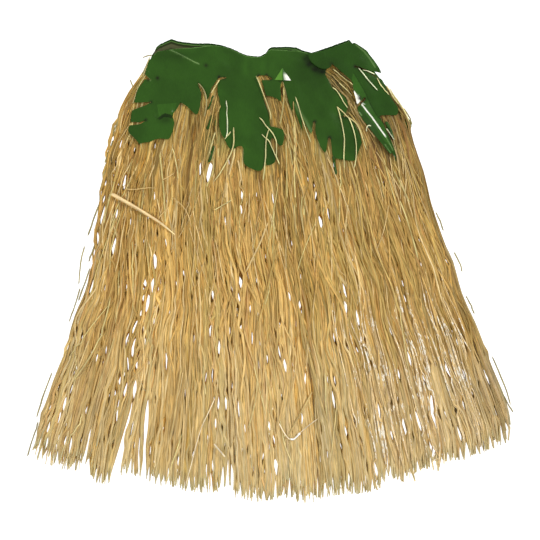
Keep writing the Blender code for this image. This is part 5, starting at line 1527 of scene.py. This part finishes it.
def loose_strands(seed, count, reach, turn, run, spread, samples=16):
    """Thin strands that lie across the others on top of the fringe."""
    rng = np.random.default_rng(seed)
    many = 4 * count
    share = np.linspace(0, 1, samples)[None, :]
    u, v = rng.uniform(0.02, 0.96, many), rng.uniform(*reach, many)
    x0, y0 = plan(u, v)
    x1, y1 = plan(u, v + 0.04)
    lean = rng.normal(0, turn, many)[:, None] + rng.normal(0, 0.16, many)[:, None] * (share - 0.5)
    way = np.arctan2(x1 - x0, y0 - y1)[:, None] + lean + wander(rng, many, samples, 3, 0.05)
    step = rng.uniform(*run, many)[:, None] / samples
    x = x0[:, None] + np.cumsum(np.sin(way) * step, axis=1)
    y = y0[:, None] - np.cumsum(np.cos(way) * step, axis=1)
    off = inside(FRONT_LOOP, x, y) | inside(SIDE_LOOP, x, y)
    off |= (x < column(EDGES, 0, 1, y) + 6) | (x > column(EDGES, 0, 2, y) - 6)
    off |= y < column(HEM_LINE, 0, 1, x) + 8
    keep = np.nonzero(~off.any(axis=1))[0][:count]
    x, y, u, v = x[keep], y[keep], u[keep][:, None], v[keep][:, None] + (y0[keep, None] - y[keep]) / 640
    count = len(keep)
    half = np.clip(rng.gamma(6, 0.62 / 6, count) + 0.16, 0.5, 1.3)[:, None]
    half = half * (1 + 0.13 * wander(rng, count, samples, 6, 1.0)) * np.clip((1 - np.abs(2 * share - 1)) * 9 + 0.3, 0.3, 1)
    x = part_strands(x, y, half, OPENINGS + PARTINGS, rng)
    z = column(LEVELS, 0, 3, y) + 0.95 * lock_height(u + 0 * y, y) + rng.uniform(-0.2, 0.7, (count, 1))
    z = z - 2.4 * (1 - smooth(share / 0.14)) - 2.4 * smooth((share - 0.86) / 0.14)
    thick = 0.24 + 0.2 * half
    tone = lin([RAFFIA[k] for k in ("gold", "straw", "olive", "pale")])[rng.choice(4, count, p=[0.35, 0.3, 0.2, 0.15])]
    tone = tone * np.exp(rng.normal(-0.03, spread, (count, 1)) * np.array((1, 1.1, 1.3)))
    tone = tone[:, None, :] * np.exp(wander(rng, count, samples, 4, 0.06))[..., None]
    tone = tone * (1 - np.array((0.27, 0.29, 0.37)) * (1 - smooth((v - 0.08) / 0.42))[..., None])
    pale = (0.5 * smooth((v - 0.45) / 0.5))[..., None]
    tone = tone * (1 - pale) + lin(RAFFIA["hem"]) * pale
    twist = wander(rng, count, samples, 3, 0.4)
    shine = np.full((count, samples), 0.6)
    return x, y, z, half, thick, twist, np.clip(tone, 0, 0.9), shine


def make_loose(quick):
    """Most of them lie down the fringe, some lie askew just below the leaves."""
    parts = (
        loose_strands(91, 60 if quick else 180, (0.06, 0.9), 0.15, (45, 170), 0.08),
        loose_strands(92, 40 if quick else 150, (0.03, 0.36), 0.19, (30, 110), 0.12),
    )
    cols = [np.concatenate(col) for col in zip(*parts)]
    return strand_mesh("fringe_loose", *cols, SECTION, 70.0)


def make_ribbons(count=105, samples=36):
    """Strands that have opened out flat near the hem on the right, crinkled and glossy."""
    rng = np.random.default_rng(58)
    u = 0.62 + 0.34 * rng.uniform(0, 1, count)[:, None] ** 0.75
    start = rng.uniform(0.50, 0.80, count)[:, None]
    stop = np.minimum(start + rng.uniform(0.14, 0.42, count)[:, None], rng.uniform(0.955, 1.005, count)[:, None])
    share = np.linspace(0, 1, samples)[None, :]
    v = start + (stop - start) * share
    lean = rng.normal(0, 0.012, count)[:, None] * (share - 0.3)
    u = np.clip(u + lean + drift_of(u + 0 * v, v), 0, 0.985)
    x, y = plan(u, v)
    x = x + wander(rng, count, samples, 2.5, 1.6)
    half = rng.gamma(6, 1.2 / 6, count)[:, None] * (1 + 0.12 * wander(rng, count, samples, 6, 1.0))
    half = half * (0.35 + 0.65 * smooth(share / 0.3)) * np.clip((1 - share) * samples / 2.0, 0.6, 1)
    right = column(EDGES, 0, 2, y) - 2.0 - half
    x = np.minimum(x, right)
    x = part_strands(x, y, half, OPENINGS + PARTINGS, rng)
    over = column(LEVELS, 0, 3, y)
    z = over * 0.97 + 0.9 * lock_height(u, y) - 0.1 + rng.uniform(0, 0.7, count)[:, None]
    z = z + wander(rng, count, samples, 7, 0.35)
    z = z - 2.2 * (1 - smooth(share / 0.16)) - 0.8 * smooth((share - 0.9) / 0.1)
    twist = 0.1 + wander(rng, count, samples, 6, 0.3)
    thick = 0.30 + 0.03 * half
    tone = lin(RAFFIA["ribbon"])[None, None, :] * np.exp(rng.normal(0, 0.12, (count, 1, 1)))
    warm = rng.uniform(0.25, 1.0, count)[:, None, None] * (1 - 0.5 * share[..., None])
    tone = tone * (1 - warm) + lin(RAFFIA["gold"]) * warm
    tone = tone * np.exp(wander(rng, count, samples, 7, 0.07))[..., None]
    shine = np.clip(0.2 + 0.05 * wander(rng, count, samples, 5, 1.0) + 0.3 * (1 - smooth(share / 0.3)), 0.14, 0.6)
    crinkle = np.stack([wander(rng, count, samples, 15, 0.12) for _ in range(5)], axis=2)
    crinkle *= smooth(share / 0.25)[..., None] * np.clip(half / 2.2, 0.3, 1.2)[..., None]
    low = crinkle[:, :, (3, 1)]
    crinkle = np.concatenate([crinkle, low], axis=2)
    return strand_mesh(
        "fringe_ribbons", x, y, z, half, thick, twist, np.clip(tone, 0, 0.95), shine, RIBBON, 40.0, crinkle
    )


# ---------------------------------------------------------------- materials


def material(name):
    made = bpy.data.materials.new(name)
    made.use_nodes = True
    tree = made.node_tree
    return made, tree, tree.nodes["Principled BSDF"]


def node(tree, kind, inputs=None, **values):
    made = tree.nodes.new(kind)
    for key, value in values.items():
        setattr(made, key, value)
    for key, value in (inputs or {}).items():
        made.inputs[key].default_value = value
    return made


def attribute(tree, name):
    return node(tree, "ShaderNodeAttribute", attribute_name=name)


def ramp(tree, low, high, out_low, out_high):
    return node(
        tree,
        "ShaderNodeMapRange",
        {"From Min": low, "From Max": high, "To Min": out_low, "To Max": out_high},
    )


def raffia_material(name="raffia", ribbon=False):
    made, tree, shader = material(name)

    def link(a, b):
        tree.links.new(a, b)

    tone, shine, grain = (attribute(tree, n) for n in ("tone", "shine", "grain"))
    # fibres run along the strand: across it the pattern is fine, along it long
    stretch = node(tree, "ShaderNodeVectorMath", {1: (1.5, 0.03, 1.0)}, operation="MULTIPLY")
    link(grain.outputs["Vector"], stretch.inputs[0])
    fibre = node(tree, "ShaderNodeTexNoise", {"Scale": 1.0, "Detail": 3.0, "Roughness": 0.6})
    link(stretch.outputs[0], fibre.inputs["Vector"])
    blotch_at = node(tree, "ShaderNodeVectorMath", {1: (0.3, 0.055, 1.0)}, operation="MULTIPLY")
    link(grain.outputs["Vector"], blotch_at.inputs[0])
    blotch = node(tree, "ShaderNodeTexNoise", {"Scale": 1.0, "Detail": 2.0})
    link(blotch_at.outputs[0], blotch.inputs["Vector"])
    light = ramp(tree, 0.3, 0.7, 0.66, 1.34)
    link(fibre.outputs["Fac"], light.inputs["Value"])
    patch = ramp(tree, 0.3, 0.7, 0.78, 1.2)
    link(blotch.outputs["Fac"], patch.inputs["Value"])
    both = node(tree, "ShaderNodeMath", operation="MULTIPLY")
    link(light.outputs["Result"], both.inputs[0])
    link(patch.outputs["Result"], both.inputs[1])
    colour = node(tree, "ShaderNodeVectorMath", operation="SCALE")
    link(tone.outputs["Color"], colour.inputs[0])
    link(both.outputs[0], colour.inputs["Scale"])
    if ribbon:  # painted glints: clusters of white flecks that stand in for the glints of the glossy film
        glint_at = node(tree, "ShaderNodeVectorMath", {1: (0.5, 0.12, 1.0)}, operation="MULTIPLY")
        link(grain.outputs["Vector"], glint_at.inputs[0])
        glint_noise = node(tree, "ShaderNodeTexNoise", {"Scale": 1.0, "Detail": 2.5, "Roughness": 0.62})
        link(glint_at.outputs[0], glint_noise.inputs["Vector"])
        place = node(tree, "ShaderNodeTexCoord")
        cluster = node(tree, "ShaderNodeTexNoise", {"Scale": 22.0, "Detail": 1.0})
        link(place.outputs["Object"], cluster.inputs["Vector"])
        gate = ramp(tree, 0.36, 0.66, 0.10, -0.10)
        link(cluster.outputs["Fac"], gate.inputs["Value"])
        level = node(tree, "ShaderNodeMath", operation="SUBTRACT")
        link(glint_noise.outputs["Fac"], level.inputs[0])
        link(gate.outputs["Result"], level.inputs[1])
        white = ramp(tree, 0.555, 0.6, 0.0, 0.95)
        link(level.outputs[0], white.inputs["Value"])
        with_glints = node(tree, "ShaderNodeMix", data_type="RGBA")
        link(white.outputs["Result"], with_glints.inputs["Factor"])
        link(colour.outputs[0], with_glints.inputs["A"])
        with_glints.inputs["B"].default_value = (1.0, 0.95, 0.82, 1)
        link(with_glints.outputs["Result"], shader.inputs["Base Color"])
    else:
        link(colour.outputs[0], shader.inputs["Base Color"])
    link(shine.outputs["Fac"], shader.inputs["Roughness"])
    # the glossy ribbons near the hem are crinkled
    crinkle_at = node(tree, "ShaderNodeVectorMath", {1: (0.42, 0.2, 1.0)}, operation="MULTIPLY")
    link(grain.outputs["Vector"], crinkle_at.inputs[0])
    crinkle = node(tree, "ShaderNodeTexNoise", {"Scale": 1.0, "Detail": 2.0, "Roughness": 0.6})
    link(crinkle_at.outputs[0], crinkle.inputs["Vector"])
    amount = ramp(tree, 0.55, 0.3, 0.0, 16.0 if ribbon else 6.0)
    link(shine.outputs["Fac"], amount.inputs["Value"])
    height = node(tree, "ShaderNodeMath", operation="MULTIPLY_ADD")
    link(crinkle.outputs["Fac"], height.inputs[0])
    link(amount.outputs["Result"], height.inputs[1])
    link(fibre.outputs["Fac"], height.inputs[2])
    bump = node(tree, "ShaderNodeBump", {"Strength": 0.6, "Distance": 0.00016})
    link(height.outputs[0], bump.inputs["Height"])
    link(bump.outputs["Normal"], shader.inputs["Normal"])
    shader.inputs["Specular IOR Level"].default_value = 0.55 if ribbon else 0.36
    shader.inputs["Subsurface Weight"].default_value = 0.1
    shader.inputs["Subsurface Radius"].default_value = (1.0, 0.85, 0.6)
    shader.inputs["Subsurface Scale"].default_value = 0.001
    return made


def cloth_material(name, roughness=0.2, specular=0.26):
    made, tree, shader = material(name)
    link = tree.links.new
    tone = attribute(tree, "tone")
    place = node(tree, "ShaderNodeTexCoord")
    cloud = node(tree, "ShaderNodeTexNoise", {"Scale": 34.0, "Detail": 4.0, "Roughness": 0.55})
    link(place.outputs["Object"], cloud.inputs["Vector"])
    # satin threads, long one way and fine the other
    threads_at = node(tree, "ShaderNodeVectorMath", {1: (2400.0, 170.0, 170.0)}, operation="MULTIPLY")
    link(place.outputs["Object"], threads_at.inputs[0])
    threads = node(tree, "ShaderNodeTexNoise", {"Scale": 1.0, "Detail": 1.0})
    link(threads_at.outputs[0], threads.inputs["Vector"])
    shade = ramp(tree, 0.3, 0.7, 0.9, 1.1)
    link(cloud.outputs["Fac"], shade.inputs["Value"])
    weave = ramp(tree, 0.25, 0.75, 0.88, 1.12)
    link(threads.outputs["Fac"], weave.inputs["Value"])
    both = node(tree, "ShaderNodeMath", operation="MULTIPLY")
    link(shade.outputs["Result"], both.inputs[0])
    link(weave.outputs["Result"], both.inputs[1])
    colour = node(tree, "ShaderNodeVectorMath", operation="SCALE")
    link(tone.outputs["Color"], colour.inputs[0])
    link(both.outputs[0], colour.inputs["Scale"])
    link(colour.outputs[0], shader.inputs["Base Color"])
    gloss = ramp(tree, 0.3, 0.7, roughness - 0.03, roughness + 0.05)
    link(cloud.outputs["Fac"], gloss.inputs["Value"])
    link(gloss.outputs["Result"], shader.inputs["Roughness"])
    wrinkle = node(tree, "ShaderNodeTexNoise", {"Scale": 85.0, "Detail": 3.0, "Roughness": 0.5})
    link(place.outputs["Object"], wrinkle.inputs["Vector"])
    heights = node(tree, "ShaderNodeMath", {1: 0.35}, operation="MULTIPLY_ADD")
    link(threads.outputs["Fac"], heights.inputs[0])
    link(wrinkle.outputs["Fac"], heights.inputs[2])
    bump = node(tree, "ShaderNodeBump", {"Strength": 0.3, "Distance": 0.0005})
    link(heights.outputs[0], bump.inputs["Height"])
    link(bump.outputs["Normal"], shader.inputs["Normal"])
    shader.inputs["Specular IOR Level"].default_value = specular
    return made


def floor_material():
    made, tree, shader = material("floor_white")
    grain = node(tree, "ShaderNodeTexNoise", {"Scale": 60.0, "Detail": 2.0})
    shade = ramp(tree, 0.3, 0.7, 0.21, 0.23)
    tree.links.new(grain.outputs["Fac"], shade.inputs["Value"])
    mix = node(tree, "ShaderNodeCombineColor")
    for k in ("Red", "Green", "Blue"):
        tree.links.new(shade.outputs["Result"], mix.inputs[k])
    tree.links.new(mix.outputs["Color"], shader.inputs["Base Color"])
    shader.inputs["Roughness"].default_value = 0.9
    shader.inputs["Specular IOR Level"].default_value = 0.1
    shader.inputs["Emission Color"].default_value = (1, 1, 1, 1)
    shader.inputs["Emission Strength"].default_value = FLOOR_GLOW
    return made


# ---------------------------------------------------------------- the scene

FLOOR_GLOW = 1.15
SLITS = specks(np.random.default_rng(404), 260) + notches(np.random.default_rng(405), 40) 
SLITS = SLITS + OPENINGS + PARTINGS + OPENINGS + PARTINGS  # twice, as each one closes its neighbours a little

raffia = raffia_material()
raffia_ribbon = raffia_material("raffia_ribbon", True)
leaf_cloth = cloth_material("leaf_cloth")
band_cloth = cloth_material("band_cloth", 0.5, 0.1)


def take(cols, rows):
    return [c[rows] for c in cols]


front_cols = strands(np.random.default_rng(11), 1520, 48, "front")
back_cols = strands(np.random.default_rng(12), 640, 31, "back")
fringe_pieces = []
count = len(front_cols[0])
for k in range(4):
    rows = np.arange(k * count // 4, (k + 1) * count // 4)
    piece = crisp(strand_mesh(f"fringe_front_{k + 1}", *take(front_cols, rows), SECTION, 100.0 * k))
    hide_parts("fringe_front")
    fringe_pieces.append(piece)
back_piece = crisp(strand_mesh("fringe_back_1", *back_cols, SECTION_PLAIN, 900.0))
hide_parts("fringe_back")
fringe_pieces.append(back_piece)
strays = make_strays()
ribbons = make_ribbons(62)
loose = crisp(make_loose(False))
fringe_pieces += [strays, loose, ribbons]

garland = wall_mesh("garland_front", "front", FRONT_LOOP, front_z, WALL, 2.1, fold_lines("front"))
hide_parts("leaves_front")
valley_lines = [(a, b, (-2.2, 0, 2.2)) for a, b in zip(VALLEY[:-1], VALLEY[1:])]
side_leaf = wall_mesh(
    "side_leaf", "side", SIDE_LOOP, side_z, WALL, 2.2, fold_lines("side") + valley_lines
)
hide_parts("leaf_side")
garland_back = wall_mesh("garland_back", "back", BACK_LOOP, back_z, WALL, 4.5)
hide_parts("leaves_back")
tent = make_tent()
band = make_band()
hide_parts("waistband")

for piece in fringe_pieces:
    piece.data.materials.append(raffia_ribbon if piece is ribbons else raffia)
for piece in (garland, side_leaf, garland_back, tent):
    piece.data.materials.append(leaf_cloth)
band.data.materials.append(band_cloth)
for piece in (*fringe_pieces, garland, side_leaf, garland_back, tent, band):
    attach(piece, "root")


floor_mesh = bpy.data.meshes.new("floor")
floor_mesh.from_pydata(
    [(-6, -6, -0.0004), (6, -6, -0.0004), (6, 6, -0.0004), (-6, 6, -0.0004)], [], [(0, 1, 2, 3)]
)
floor = bpy.data.objects.new("floor", floor_mesh)
bpy.context.scene.collection.objects.link(floor)
floor_mesh.materials.append(floor_material())


def area_light(name, azimuth, elevation, distance, size, power, colour=(1, 1, 1), glossy=True):
    """Azimuth is measured from +X toward +Y, both angles in degrees."""
    data = bpy.data.lights.new(name, "AREA")
    data.shape = "DISK"
    data.size = size
    data.energy = power
    data.color = colour
    lamp = bpy.data.objects.new(name, data)
    a, e = np.radians(azimuth), np.radians(elevation)
    way = Vector((np.cos(e) * np.cos(a), np.cos(e) * np.sin(a), np.sin(e)))
    lamp.location = way * distance
    lamp.rotation_euler = way.to_track_quat("Z", "Y").to_euler()
    lamp.visible_glossy = glossy
    bpy.context.scene.collection.objects.link(lamp)
    return lamp


area_light("key", 37, 42, 6.0, 1.286, 193, (1.0, 0.985, 0.97))
area_light("fill_left", 190, 50, 2.8, 1.4, 17, (1.0, 0.965, 0.88), glossy=False)
area_light("fill_low", 285, 52, 2.8, 1.4, 15, (1.0, 0.965, 0.88), glossy=False)

world = bpy.data.worlds.new("studio")
world.use_nodes = True
world.node_tree.nodes["Background"].inputs["Color"].default_value = (1, 0.965, 0.88, 1)
world.node_tree.nodes["Background"].inputs["Strength"].default_value = 0.46
scene = bpy.context.scene
scene.world = world
scene.view_settings.view_transform = "Standard"

cam_data = bpy.data.cameras.new("camera")
cam_data.sensor_width = 36
cam_data.lens = 127.7
camera = bpy.data.objects.new("camera", cam_data)
camera.location = (-0.0008, -0.0016, 3.0)
scene.collection.objects.link(camera)
scene.camera = camera
